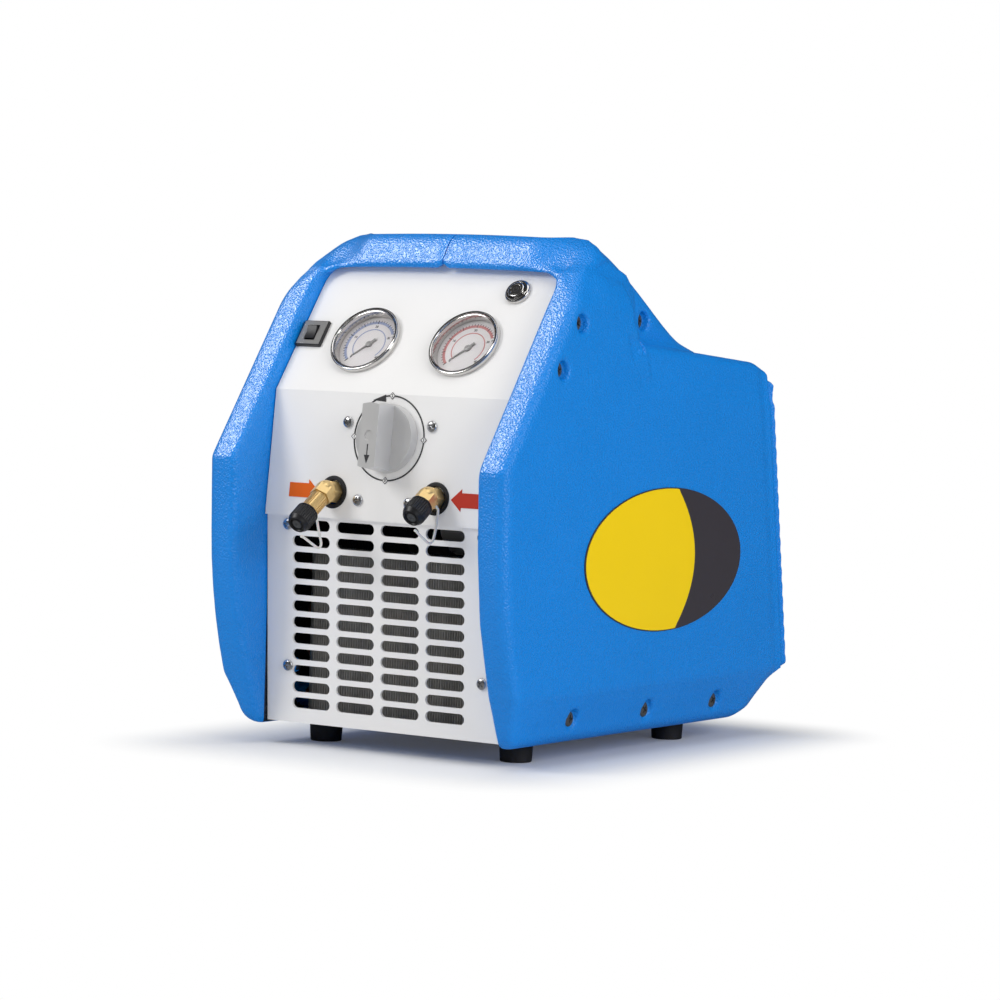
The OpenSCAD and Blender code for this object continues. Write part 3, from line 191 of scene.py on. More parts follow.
RED_INK = new_material("red_ring_print", (0.50, 0.20, 0.20), 0.5, grain=(0.0004, 0.00001), tone=0.08)
DIAL = new_material("dial", (0.66, 0.635, 0.64), 0.5, grain=(0.0006, 0.00001), tone=0.03)
YELLOW = new_material("yellow_film", (0.98, 0.68, 0.004), 0.30, grain=(0.003, 0.00003), tone=0.02, scale=0.06,
                      sockets={"Specular IOR Level": 0.25})
SATIN = new_material("satin_plate", (0.30, 0.295, 0.29), 0.4, 0.5, grain=(0.0005, 0.00002), tone=0.05)
GREY_FILM = new_material("grey_film", (0.045, 0.040, 0.050), 0.30, grain=(0.003, 0.00003), tone=0.06,
                         scale=0.06)
# Dark cast metal; on the shell screw heads it is painted shade of their deep bores
CAST_AND_BORE_SHADE = new_material("cast_metal_and_bore_shade", (0.12, 0.125, 0.13), 0.6, 0.6, grain=(0.0015, 0.0003), tone=0.15)
ENAMEL = new_material("enamel", (0.05, 0.055, 0.06), 0.4, grain=(0.001, 0.0001), tone=0.1)
PALE = new_material("pale_plastic", (0.72, 0.71, 0.68), 0.35, grain=(0.0008, 0.00003), tone=0.04)
LENS = new_material("lens", (1.0, 1.0, 1.0), 0.03, grain=(0.02, 0.00001), tone=0.0, strength=0.05,
                    sockets={"Transmission Weight": 1.0, "IOR": 1.12, "Specular IOR Level": 0.5})


INWARD = -0.05  # x of a place times x of its normal: negative where a wall faces the middle
# Colour of the painted shade on the housing's inward walls
PAINTED_SHADE_BLUE = (0.01, 0.015, 0.025, 1)
INSIDE_START = GRILLE_Y + 3 * MM


def darken_inside(mat, start_y, top_z):
    """Painted shade: hardly any light reaches the housing's inside, so wall faces turned inward, behind the
    grille, are painted dark.
    """
    tree = mat.node_tree
    node, link = tree.nodes.new, tree.links.new
    shader = tree.nodes["Principled BSDF"]
    place = node("ShaderNodeNewGeometry")
    spot = node("ShaderNodeSeparateXYZ")
    link(place.outputs["Position"], spot.inputs[0])
    facing = node("ShaderNodeSeparateXYZ")
    link(place.outputs["True Normal"], facing.inputs[0])
    inward = math_out(tree, "MULTIPLY", spot.outputs["X"], facing.outputs["X"])
    turned = math_out(tree, "LESS_THAN", inward, INWARD)
    behind = math_out(tree, "GREATER_THAN", spot.outputs["Y"], start_y)
    below = math_out(tree, "LESS_THAN", spot.outputs["Z"], top_z)
    both = math_out(tree, "MULTIPLY", math_out(tree, "MULTIPLY", turned, behind), below)
    dark = node("ShaderNodeMix")
    dark.data_type = "RGBA"
    link(both, dark.inputs[0])
    colour = shader.inputs["Base Color"].links[0].from_socket
    link(colour, dark.inputs[6])
    dark.inputs[7].default_value = PAINTED_SHADE_BLUE
    link(dark.outputs[2], shader.inputs["Base Color"])


# Painted shade on the shell's inward walls behind the grille
darken_inside(SHELL, INSIDE_START, LEDGE_Z)

CAD_LOOKS = {
    SHELL: ["left_shell", "right_shell"],
    PANEL: ["front_panel", "grille_panel"],
    REAR: ["rear_panel", "base_tray"],
    KNOB: ["selector_knob"],
    INK: ["dial_ring", "knob_pointer", "low_gauge_needle", "high_gauge_needle"],
    CHROME: ["low_gauge_case", "high_gauge_case", "start_collar", "start_button"],
    STEEL: ["valve_stem", "motor_shaft", "panel_screws", "shell_screws", "fan_guard"],
    BRASS: ["inlet_fitting", "outlet_fitting", "pressure_switch", "inlet_pins"],
    COPPER: ["condenser_coil", "refrigerant_pipes"],
    ALUMINIUM: ["valve_block", "motor_end_bells", "cylinder_heads", "condenser_ends"],
    SATIN: ["breaker_plate"],
    FINS: ["condenser_fins"],
    BLACK: ["breaker_frame", "breaker_rocker", "inlet_cap", "outlet_cap", "grip_pocket", "cooling_fan",
            "power_inlet"],
    RUBBER: ["feet", "port_grommets"],
    TETHER: ["inlet_tether", "outlet_tether"],
    ORANGE: ["inlet_arrow"],
    RED: ["outlet_arrow"],
    DIAL: ["low_gauge_dial", "high_gauge_dial"],
    YELLOW: ["side_badges"],
    CAST_AND_BORE_SHADE: ["crankcase"],
    ENAMEL: ["motor_case"],
    PALE: ["run_capacitor"],
    LENS: ["low_gauge_lens", "high_gauge_lens"],
}
for look, names in CAD_LOOKS.items():
    for name in names:
        nodes[name].data.materials.clear()
        nodes[name].data.materials.append(look)

SLOT_OF = {part["node"]: part["material_slot"] for part in frame["record"]["subparts"]}


# Making pieces
def settle(obj, body, look, slot=None, stands_for=()):
    """Gives a new piece its material and the body that carries it, and hides the CAD nodes it stands for."""
    obj.data.materials.clear()
    obj.data.materials.append(look)
    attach(obj, body)
    if stands_for:
        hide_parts(*stands_for)
        slot = slot or SLOT_OF[stands_for[0]]
    return obj


def object_from(name, bm, place=None, sharp=30):
    """Links a bmesh as an object, moved to its place, with smooth shading between sharp edges."""
    if place is not None:
        bm.transform(place)
    bmesh.ops.recalc_face_normals(bm, faces=bm.faces)
    mesh = bpy.data.meshes.new(name)
    bm.to_mesh(mesh)
    bm.free()
    mesh.shade_smooth()
    mesh.set_sharp_from_angle(angle=math.radians(sharp))
    obj = bpy.data.objects.new(name, mesh)
    bpy.context.scene.collection.objects.link(obj)
    return obj


def baked(obj):
    """The object's mesh with its modifiers applied."""
    graph = bpy.context.evaluated_depsgraph_get()
    mesh = bpy.data.meshes.new_from_object(obj.evaluated_get(graph))
    obj.modifiers.clear()
    obj.data = mesh
    return obj


def bevelled(obj, width, segments=2, angle=30):
    mod = obj.modifiers.new("soft edges", "BEVEL")
    mod.width = width
    mod.segments = segments
    mod.limit_method = "ANGLE"
    mod.angle_limit = math.radians(angle)
    mod.use_clamp_overlap = True
    baked(obj)
    obj.data.shade_smooth()
    obj.data.set_sharp_from_angle(angle=math.radians(40))
    level = obj.modifiers.new("level faces", "WEIGHTED_NORMAL")
    level.keep_sharp = True
    return baked(obj)


def welded(name, node, flat=0.6):
    """A clean copy of a CAD node's mesh: corners merged, coplanar triangles joined."""
    bm = bmesh.new()
    bm.from_mesh(nodes[node].data)
    bmesh.ops.remove_doubles(bm, verts=bm.verts, dist=2e-6)
    if flat:
        bmesh.ops.dissolve_limit(bm, angle_limit=math.radians(flat), verts=bm.verts, edges=bm.edges)
    return object_from(name, bm)


def softened(node, width, look, angle=30, flat=0.6):
    """Stands for a CAD node with the same form, its edges rounded as the real piece has them."""
    obj = bevelled(welded(node + "_soft", node, flat), width, angle=angle)
    return settle(obj, nodes[node]["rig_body"], look, stands_for=[node])


def add_lathe(bm, profile, place=None, steps=64):
    """Turns (radius, height) points round Z."""
    made = []
    for radius, height in profile:
        ring = []
        for i in range(steps if radius > 0 else 1):
            turn = 2 * math.pi * i / steps
            spot = Vector((radius * math.cos(turn), radius * math.sin(turn), height))
            ring.append(bm.verts.new(place @ spot if place is not None else spot))
        made.append(ring)
    for low, high in zip(made, made[1:]):
        for i in range(steps):
            j = (i + 1) % steps
            corners = [low[i % len(low)], low[j % len(low)], high[j % len(high)], high[i % len(high)]]
            corners = list(dict.fromkeys(corners))
            if len(corners) > 2:
                bm.faces.new(corners)


def lathe(name, profile, place, steps=64, sharp=35):
    bm = bmesh.new()
    add_lathe(bm, [(r * MM, h * MM) for r, h in profile], steps=steps)
    return object_from(name, bm, place, sharp)


def add_prism(bm, outline, low, high):
    """A flat outline pulled up from low to high."""
    bottom = [bm.verts.new((x, y, low)) for x, y in outline]
    top = [bm.verts.new((x, y, high)) for x, y in outline]
    bm.faces.new(bottom[::-1])
    bm.faces.new(top)
    count = len(outline)
    for i in range(count):
        j = (i + 1) % count
        bm.faces.new([bottom[i], bottom[j], top[j], top[i]])


def plate(name, outline, thick, place, soft=0.0):
    bm = bmesh.new()
    add_prism(bm, [(x * MM, y * MM) for x, y in outline], 0, thick * MM)
    obj = object_from(name, bm, place)
    if soft:
        bevelled(obj, soft * MM, 2)
    return obj


def add_sector(bm, inner, outer, start, end, low, high, steps=40):
    """A flat arc band between two radii; angles in degrees, clockwise from the top."""
    outline = []
    for radius, angles in ((outer, range(steps + 1)), (inner, range(steps, -1, -1))):
        for i in angles:
            turn = math.radians(90 - (start + (end - start) * i / steps))
            outline.append((radius * math.cos(turn), radius * math.sin(turn)))
    add_prism(bm, outline, low, high)


def text_piece(name, words, size, place, look, body):
    curve = bpy.data.curves.new(name, "FONT")
    curve.body = words
    curve.size = size * MM
    curve.extrude = 0.05 * MM
    curve.offset = 0.018 * size * MM
    curve.align_x = "CENTER"
    curve.align_y = "CENTER"
    holder = bpy.data.objects.new(name + "_draft", curve)
    bpy.context.scene.collection.objects.link(holder)
    graph = bpy.context.evaluated_depsgraph_get()
    mesh = bpy.data.meshes.new_from_object(holder.evaluated_get(graph))
    bpy.data.objects.remove(holder)
    mesh.transform(place)
    obj = bpy.data.objects.new(name, mesh)
    bpy.context.scene.collection.objects.link(obj)
    return settle(obj, body, look)


# Tethers: cords first
TETHER_R = 0.9
INLET_ROUTE = [(0, -5.8, 17), (0, -8.5, 17.6), (0, -12.7, 19.3), (0, -21, 21.6), (0, -27, 23),
               (0, -28.9, 24.8), (0, -28.6, 27.2), (0, -25.9, 29.6), (0, -18, 34), (0, -11.6, 37.6),
               (0, -9.9, 39.2)]
OUTLET_ROUTE = [(5.5, -4.6, 2), (5.6, -7.5, 1), (5, -11.1, 1.2), (4, -20.6, 9), (3.4, -24.8, 13.6),
                (2.8, -25.6, 16.2), (2.2, -24, 18.6), (1, -15, 22.2), (0, -10.6, 23.2), (0, -9.9, 24)]


def through(points, steps=3):
    """Points on a smooth curve through the given ones."""
    pts = [Vector(p) for p in points]
    out = []
    for i in range(len(pts) - 1):
        before, a, b, after = pts[max(i - 1, 0)], pts[i], pts[i + 1], pts[min(i + 2, len(pts) - 1)]
        for k in range(steps):
            t = k / steps
            out.append(0.5 * (2 * a + (b - before) * t + (2 * before - 5 * a + 4 * b - after) * t * t
                              + (3 * a - before - 3 * b + after) * t ** 3))
    return out + [pts[-1]]


def tether(node, side, route):
    line = [on_port(side) @ (p * MM) for p in through(route)]
    curve = bpy.data.curves.new(node + "_strap", "CURVE")
    curve.dimensions = "3D"
    curve.bevel_depth = TETHER_R * MM
    curve.bevel_resolution = 4
    curve.use_fill_caps = True
    spline = curve.splines.new("POLY")
    spline.points.add(len(line) - 1)
    for spot, p in zip(spline.points, line):
        spot.co = (*p, 1)
    obj = bpy.data.objects.new(node + "_strap", curve)
    bpy.context.scene.collection.objects.link(obj)
    settle(obj, "base", TETHER, stands_for=[node])


tether("inlet_tether", -1, INLET_ROUTE)
tether("outlet_tether", 1, OUTLET_ROUTE)

# Moulded shells
VOXEL = 1.7 * MM
SEAM_GAP, SEAM_REACH, SEAM_ROUND = 0.45, 0.6, 5
HALF_W, KNEE_Z, FACE_LEAN = 125, 202, 34.8
REAR_Y, CREASE_Z, REAR_LEAN, REAR_TUCK, REAR_R = 198.25, 50, 8.8, 46, 26
DECK_Z, DECK_FALL, CREASE_Y = 291, 4.3, FRONT_Y / MM + 152.3
CREASE_TOP_Y, CREASE_TOP_Z, CREASE_BEND_Z = -45, 318, 285
EDGE_WAS, EDGE_IS = 30.5, 8
CORNER_IS, CORNER_RUN = 6, 4
HOOP_CORNER, HOOP_ROUND, HOOP_WAS = (70, 306), 55, 40
NECK_BACK, NECK_HALF_W, POCKET_HALF_W = 20, 110, 64


def ease(start, end, value):
    """0 before start, 1 past end, smooth between."""
    t = min(1.0, max(0.0, (value - start) / (end - start)))
    return t * t * (3 - 2 * t)


def face_y(z):
    """The housing's front face: upright up to its knee, then leaning back."""
    return FRONT_Y / MM + max(0.0, z - KNEE_Z) * math.tan(math.radians(FACE_LEAN))


def wall_rear_y(z):
    """The rear wall: leaning forward above its crease, tucked under below it."""
    if z > CREASE_Z:
        return REAR_Y - (z - CREASE_Z) * math.tan(math.radians(REAR_LEAN))
    return REAR_Y - (CREASE_Z - z) * math.tan(math.radians(REAR_TUCK))


def deck_z(y):
    return DECK_Z - (min(y, REAR_Y - REAR_R) - CREASE_Y) * math.tan(math.radians(DECK_FALL))


def crease_y(z):
    """The line where the hoop's side ends, as seen on the real housing."""
    return CREASE_TOP_Y + (CREASE_TOP_Z - max(z, CREASE_BEND_Z)) * 0.17 + max(0.0, CREASE_BEND_Z - z) * 0.62


def square_reach(turn, half, corner):
    """Distance from the middle of a square with round corners to its outline, in one quadrant."""
    c, s = abs(math.cos(turn)), abs(math.sin(turn))
    reach = half / max(c, s)
    if reach * min(c, s) > half - corner:
        k = (half - corner) * (c + s)
        reach = k + math.sqrt(max(0.0, k * k - 2 * (half - corner) ** 2 + corner ** 2))
    return reach


def round_inset(back, radius):
    if back >= radius:
        return 0.0
    return radius - math.sqrt(max(0.0, radius ** 2 - (radius - max(back, 0.0)) ** 2))


# Zones of the moulding are (start, end) pairs in millimetres
DECK_START, EDGE_BLEND = (CREASE_Y - 8, CREASE_Y + 14), 8
NECK_FRONT, NECK_REAR, NECK_TOP_Z = (-100, -70), (110, 150), 346
NECK_FLANK, NECK_INNER = (NECK_HALF_W + 2, NECK_HALF_W + 7), (POCKET_HALF_W + 4, POCKET_HALF_W + 30)
SHOULDER_Y, SHOULDER_RUN, SHOULDER_BLEND = -40, 30, 6
HOOP_FAR, HOOP_REAR = (42, 54), (-95, -65)
CROWN, CROWN_HALF_W, CROWN_Z, CROWN_REAR = 2.5, 100, (305, 355), (-80, -50)
BAR_DROP, BAR_LOW, BAR_HIGH, BAR_END, BAR_DEEP = 3.5, (328, 337), (341, 356), (98, 104), (4, 16)
NOTCH_UP, NOTCH_BACK, NOTCH_LOW, NOTCH_HIGH, NOTCH_DEEP = 3.0, 1.3, (322, 334), (336, 350), (2, 6)
HEM_DROP, HEM_Z, HEM_LEG, HEM_FRONT = 2.0, (20, 46), (96, 102), FRONT_Y / MM + 60
RIDGE_DEEP, RIDGE_RUN, RIDGE_X, RIDGE_Z, RIDGE_TOP = 1.6, 24, 116, (250, 280), 2


def deck_edge(x, y, z):
    """Tightens the edge between deck and side wall."""
    dx, dz = x - (HALF_W - EDGE_WAS), z - (deck_z(y) - EDGE_WAS)
    if dx <= 0 or dz <= 0:
        return x, z
    far = math.hypot(dx, dz)
    grow = square_reach(math.atan2(dz, dx), EDGE_WAS, EDGE_IS) / EDGE_WAS - 1
    grow *= ease(*DECK_START, y) * (1 - ease(EDGE_WAS, EDGE_WAS + EDGE_BLEND, far))
    return x + dx * grow, z + dz * grow


def rear_edge(x, y, z):
    """Tightens the edge between side wall and rear wall."""
    back = wall_rear_y(z) - y
    was = round_inset(back, REAR_R)
    if was > 0:
        edge = HALF_W - was
        x += (was - round_inset(back, CORNER_IS)) * ease(edge - CORNER_RUN, edge, x)
    return x


def neck(x, y, z):
    """Slides the neck's shoulders back, so that they fall later than the middle with its pocket."""
    deck = deck_z(y)
    high = deck if y > SHOULDER_Y else deck + (NECK_TOP_Z - deck) * min(1.0, (SHOULDER_Y - y) / SHOULDER_RUN)
    slide = (ease(*NECK_FRONT, y) * (1 - ease(*NECK_REAR, y)) * (1 - ease(*NECK_FLANK, x))
             * ease(*NECK_INNER, x) * ease(high - SHOULDER_BLEND, high, z))
    z -= NECK_BACK * slide * math.tan(math.radians(DECK_FALL)) * (1 - ease(deck, deck + SHOULDER_RUN, z))
    return y + NECK_BACK * slide, z


def grip(x, y, z):
    """Rounds the grip's front corners, crowns it, lowers its front edge and notches that at the seam."""
    dx, dz = x - HOOP_CORNER[0], z - HOOP_CORNER[1]
    if dx > 0 and dz > 0:
        was = square_reach(math.atan2(dz, dx), HOOP_ROUND, HOOP_WAS)
        pull = (HOOP_ROUND / was - 1) * ease(*HOOP_FAR, math.hypot(dx, dz)) * (1 - ease(*HOOP_REAR, y))
        x, z = x + dx * pull, z + dz * pull
    z -= CROWN * (x / CROWN_HALF_W) ** 2 * ease(*CROWN_Z, z) * (1 - ease(*CROWN_REAR, y))
    near = 1 - ease(*BAR_DEEP, y - face_y(z))
    z -= BAR_DROP * near * ease(*BAR_LOW, z) * (1 - ease(*BAR_HIGH, z)) * (1 - ease(*BAR_END, x))
    middle = 1 - ease(0, SEAM_ROUND, x)
    z += NOTCH_UP * near * middle * (1 - ease(*NOTCH_HIGH, z)) * ease(*NOTCH_LOW, z)
    y += NOTCH_BACK * middle * (1 - ease(*NOTCH_DEEP, y - face_y(z))) * ease(*NOTCH_LOW, z)
    return x, y, z


def hem_and_ridge(x, y, z):
    """Lowers the bottom edge and adds the faint ridge where the hoop's side ends."""
    z -= HEM_DROP * (1 - ease(*HEM_Z, z)) * (ease(*HEM_LEG, x) if y < HEM_FRONT else 1)
    if x > RIDGE_X and RIDGE_Z[0] < z < deck_z(y) + RIDGE_TOP and y > crease_y(z):
        x -= RIDGE_DEEP * ease(*RIDGE_Z, z) * math.exp((crease_y(z) - y) / RIDGE_RUN)
    return x, z


def moulded(spot):
    """The solid shell's point moved to where the real moulding has it."""
    x, y, z = abs(spot.x) / MM, spot.y / MM, spot.z / MM
    side = 1 if spot.x >= 0 else -1
    x, z = deck_edge(x, y, z)
    x = rear_edge(x, y, z)
    y, z = neck(x, y, z)
    x, y, z = grip(x, y, z)
    x, z = hem_and_ridge(x, y, z)
    return Vector((side * min(x, HALF_W) * MM, y * MM, z * MM))


def whole_skin():
    """Both half shells as one even skin, so that the moulding runs smoothly across the seam."""
    bm = bmesh.new()
    for node in ("left_shell", "right_shell"):
        bm.from_mesh(nodes[node].data)
    for vert in bm.verts:
        if abs(vert.co.x) < SEAM_REACH * MM:
            vert.co.x = 0.0
    bmesh.ops.remove_doubles(bm, verts=bm.verts, dist=2e-6)
    flat = [face for face in bm.faces if all(abs(vert.co.x) < 1e-7 for vert in face.verts)]
    bmesh.ops.delete(bm, geom=flat, context="FACES")
    skin = object_from("skin_draft", bm)
    remesh = skin.modifiers.new("even skin", "REMESH")
    remesh.mode = "VOXEL"
    remesh.voxel_size = VOXEL
    relax = skin.modifiers.new("soft moulding", "SMOOTH")
    relax.factor = 0.5
    relax.iterations = 7
    baked(skin)
    for vert in skin.data.vertices:
        vert.co = moulded(vert.co)
    return skin


def half_skin(whole, side, name, node):
    """One side of the skin, cut just short of the seam and closed there."""
    bm = bmesh.new()
    bm.from_mesh(whole.data)
    everything = bm.verts[:] + bm.edges[:] + bm.faces[:]
    cut = bmesh.ops.bisect_plane(bm, geom=everything, plane_co=(side * SEAM_GAP * MM, 0, 0),
                                 plane_no=(side, 0, 0), clear_inner=True)
    rim = [piece for piece in cut["geom_cut"] if isinstance(piece, bmesh.types.BMEdge)]
    bmesh.ops.triangle_fill(bm, edges=rim, use_beauty=True, normal=(-side, 0, 0))
    obj = object_from(name, bm, sharp=50)
    return settle(obj, "base", SHELL, stands_for=[node])


skin = whole_skin()
half_skin(skin, -1, "left_shell_skin", "left_shell")
half_skin(skin, 1, "right_shell_skin", "right_shell")
bpy.data.objects.remove(skin)

# Sheet metal
softened("front_panel", 0.7 * MM, PANEL, angle=20)
grille = softened("grille_panel", 0.35 * MM, PANEL)
FOOT_LINE, FOOT_DROP = 24 * MM, 4.5 * MM
for vert in grille.data.vertices:
    if vert.co.z < FOOT_LINE:
        vert.co.z -= FOOT_DROP
softened("rear_panel", 0.4 * MM, REAR)


# Screws
def screw_mesh(radius, height, slot_w, slot_len, slot_deep):
    """A pan head with a cross recess, made once and copied to every place."""
    steps = 6
    dome = [(radius, 0), (radius, height * 0.35)]
    for i in range(1, steps):
        turn = math.pi / 2 * i / steps
        dome.append((radius * math.cos(turn) ** 0.8, height * (0.35 + 0.65 * math.sin(turn))))
    head = lathe("screw_head", [(0, 0)] + dome + [(0, height)], None, steps=40)
    bm = bmesh.new()
    for along, across in ((slot_len, slot_w), (slot_w, slot_len)):
        part = bmesh.new()
        x, y = along / 2 * MM, across / 2 * MM
        add_prism(part, [(-x, -y), (x, -y), (x, y), (-x, y)], (height - slot_deep) * MM, (height + 1) * MM)
        mesh = bpy.data.meshes.new("slot")
        part.to_mesh(mesh)
        part.free()
        bm.from_mesh(mesh)
    cutter = object_from("cross_cutter", bm)
    cut = head.modifiers.new("cross", "BOOLEAN")
    cut.object = cutter
    cut.use_self = True
    baked(head)
    mesh = head.data
    bpy.data.objects.remove(head)
    bpy.data.objects.remove(cutter)
    return mesh


def screw_set(name, mesh, places, look, node):
    bm = bmesh.new()
    for turn, place in enumerate(places):
        copy = mesh.copy()
        copy.transform(place @ Matrix.Rotation(0.5 + turn * 1.1, 4, "Z"))
        bm.from_mesh(copy)
        bpy.data.meshes.remove(copy)
    settle(object_from(name, bm, sharp=35), "base", look, stands_for=[node])


GRILLE_SCREW_X, GRILLE_SCREW_Z = 82 * MM, (56.2 * MM, 155.4 * MM)
pan = screw_mesh(radius=4, height=2.4, slot_w=1.1, slot_len=4.6, slot_deep=1.3)
places = [at(ON_KNOB, s * x * MM, up * MM) for s in (-1, 1) for x, up in ((35.3, 65.2), (21.4, 11.8))]
places += [at(ON_GRILLE, s * GRILLE_SCREW_X, z - LEDGE_Z) for s in (-1, 1) for z in GRILLE_SCREW_Z]
screw_set("panel_screw_heads", pan, places, STEEL, "panel_screws")

TUCK, BORE = 8, 7
SIDE_SCREWS = [(88.9, 301.5, HALF_W), (67, 269.8, HALF_W), (100.8, 32.4, HALF_W - TUCK / 2),
               (197.7, 31.8, HALF_W - TUCK / 2), (291.2, 31.8, HALF_W - TUCK / 2), (171, 304.3, 110)]
deep = screw_mesh(radius=5.5, height=2.4, slot_w=1.3, slot_len=5.6, slot_deep=1.4)
places = []
for s in (-1, 1):
    for back, z, x in SIDE_SCREWS:
        spot = moulded(Vector((s * (x - BORE) * MM, FRONT_Y + back * MM, z * MM)))
        places.append(Matrix.Translation(spot) @ Matrix.Rotation(s * math.pi / 2, 4, "Y"))
# Painted shade: the screw heads deep in the side bores take the dark cast metal in place of steel
screw_set("shell_screw_heads", deep, places, CAST_AND_BORE_SHADE, "shell_screws")

# Selector
softened("selector_knob", 0.9 * MM, KNOB, angle=35)
softened("knob_pointer", 0.12 * MM, INK)
RING_R, MARK, FIELD_SHARE, RING_T = 29.2, 2.6, 0.74, 0.3
for digit, (dx, dy) in enumerate(((0, -1), (-1, 0), (0, 1), (1, 0))):
    spot = at(ON_KNOB, dx * RING_R * MM, KNOB_UP + dy * RING_R * MM, RING_T * MM)
    diamond = [(MARK * math.cos(a), MARK * math.sin(a)) for a in (0, math.pi / 2, math.pi, 3 * math.pi / 2)]
    settle(plate(f"mark_edge_{digit}", diamond, 0.12, spot), "base", INK)
    inner = [(x * FIELD_SHARE, y * FIELD_SHARE) for x, y in diamond]
    settle(plate(f"mark_field_{digit}", inner, 0.2, spot), "base", PANEL)
    text_piece(f"digit_{digit}", str(digit), 2.9, at(spot, 0, 0, 0.25 * MM), INK, "base")


# Gauges
BEZEL_R, BEZEL_IN, DIAL_DOWN, TICK_R, NUMBER_R = 26.8, 23.6, 4.0, 20.6, 15.2
SWEEP, TICKS, NUMBERS, PRINT_T = 270, 40, 8, 0.12 * MM


def gauge(side, prefix, band_look, body):
    """One gauge: turned case, dial with bands, ticks and numbers, and its hand at rest on zero."""
    place = at(ON_GAUGE, side * GAUGE_X, GAUGE_UP)
    rim = [(BEZEL_IN, -DIAL_DOWN - 0.5), (BEZEL_IN, 2.6), (BEZEL_IN + 0.1, 3.0), (BEZEL_IN + 0.5, 3.1),
           (BEZEL_IN + 0.7, 3.5), (BEZEL_IN + 0.9, 4.2), (BEZEL_IN + 1.3, 4.5), (BEZEL_IN + 1.8, 4.5),
           (BEZEL_IN + 2.1, 4.2), (BEZEL_IN + 2.25, 3.8), (BEZEL_IN + 2.5, 3.7), (BEZEL_IN + 2.8, 3.7),
           (BEZEL_R - 0.25, 3.4), (BEZEL_R, 2.9), (BEZEL_R, 0.5), (BEZEL_R - 0.2, 0.1), (BEZEL_R - 0.5, 0),
           (24, 0), (24, -26), (6, -26), (5.5, -27), (5.5, -38), (0, -38)]
    floor_of_case = [(0, -DIAL_DOWN - 2), (BEZEL_IN, -DIAL_DOWN - 2)]
    case = lathe(prefix + "_case_turned", rim + floor_of_case + rim[:1], place, 96)
    settle(case, "base", CHROME, stands_for=[prefix + "_case"])
    disc = [(1.2, -0.6), (BEZEL_IN - 0.1, -0.6), (BEZEL_IN - 0.1, -0.1), (BEZEL_IN - 0.4, 0), (1.2, 0),
            (1.2, -0.6)]
    face = lathe(prefix + "_face", disc, at(place, 0, 0, -DIAL_DOWN * MM), 96)
    settle(face, "base", DIAL, stands_for=[prefix + "_dial"])
    on_dial = at(place, 0, 0, -DIAL_DOWN * MM)
    band = bmesh.new()
    add_sector(band, 17.6 * MM, 19.6 * MM, -SWEEP / 2, 60, 0, PRINT_T)
    add_sector(band, 12.4 * MM, 13.2 * MM, -SWEEP / 2, SWEEP / 2, 0, PRINT_T)
    settle(object_from(prefix + "_band", band, on_dial), "base", band_look)
    ticks = bmesh.new()
    for i in range(TICKS + 1):
        turn = math.radians(-SWEEP / 2 + SWEEP * i / TICKS)
        reach = 3.0 if i % 5 == 0 else 1.6
        wide = 0.28 if i % 5 == 0 else 0.16
        spoke = bmesh.new()
        half, low, high = wide * MM, (TICK_R - reach) * MM, TICK_R * MM
        add_prism(spoke, [(-half, low), (half, low), (half, high), (-half, high)], 0, 0.16 * MM)
        spoke.transform(Matrix.Rotation(-turn, 4, "Z"))
        mesh = bpy.data.meshes.new("tick")
        spoke.to_mesh(mesh)
        spoke.free()
        ticks.from_mesh(mesh)
        bpy.data.meshes.remove(mesh)
    settle(object_from(prefix + "_ticks", ticks, on_dial), "base", INK)
    for i in range(0, NUMBERS + 1, 2):
        turn = math.radians(-SWEEP / 2 + SWEEP * i / NUMBERS)
        spot = at(on_dial, NUMBER_R * math.sin(turn) * MM, NUMBER_R * math.cos(turn) * MM, 0.1 * MM)
        text_piece(f"{prefix}_number_{i}", str(i * 5), 2.6, spot, INK, "base")
    hand = bmesh.new()
    swing = on_dial @ Matrix.Rotation(math.radians(SWEEP / 2), 4, "Z")
    add_prism(hand, [(-1.1 * MM, -6 * MM), (1.1 * MM, -6 * MM), (0.7 * MM, 0), (0.22 * MM, 15 * MM),
                     (-0.22 * MM, 15 * MM), (-0.7 * MM, 0)], 0.55 * MM, 1.0 * MM)
    add_lathe(hand, [(r * MM, h * MM) for r, h in ((0, 0.4), (2.6, 0.4), (2.6, 0.9), (2.1, 1.35), (0.9, 1.5),
                                                   (0.7, 1.8), (0, 1.85))], steps=40)
    add_lathe(hand, [(r * MM, h * MM) for r, h in ((0, -1.6), (1.0, -1.6), (1.0, 0.6), (0, 0.6))], steps=24)
    settle(object_from(prefix + "_hand", hand, swing), body, SATIN, stands_for=[prefix + "_needle"])


gauge(-1, "low_gauge", BLUE_INK, "low_needle")
gauge(1, "high_gauge", RED_INK, "high_needle")

# Start button and breaker
BUTTON = at(ON_GAUGE, 66.5 * MM, 88.3 * MM)
COLLAR_EDGE = [(6.6, -20), (6.6, 2.9), (6.9, 3.4), (7.4, 3.5), (8.0, 3.4), (8.3, 3.0), (8.6, 2.9), (9.1, 2.6),
               (9.5, 2.0), (9.5, 0.3), (9.2, 0), (7.8, 0), (7.8, -22), (6.6, -22), (6.6, -20)]
collar = lathe("start_collar_turned", COLLAR_EDGE, BUTTON, 72)
settle(collar, "base", CHROME, stands_for=["start_collar"])
PUSHER_EDGE = [(0, -11), (6.2, -11), (6.2, 3.9), (5.9, 4.3), (5.4, 4.5), (4.6, 4.5), (4.3, 4.2), (3.9, 4.2),
               (3.6, 4.45), (0, 4.5)]
pusher = lathe("start_button_turned", PUSHER_EDGE, BUTTON, 72)
settle(pusher, "start_plunger", CHROME, stands_for=["start_button"])
symbol = bmesh.new()
SYMBOL_Z = (4.45 * MM, 4.6 * MM)
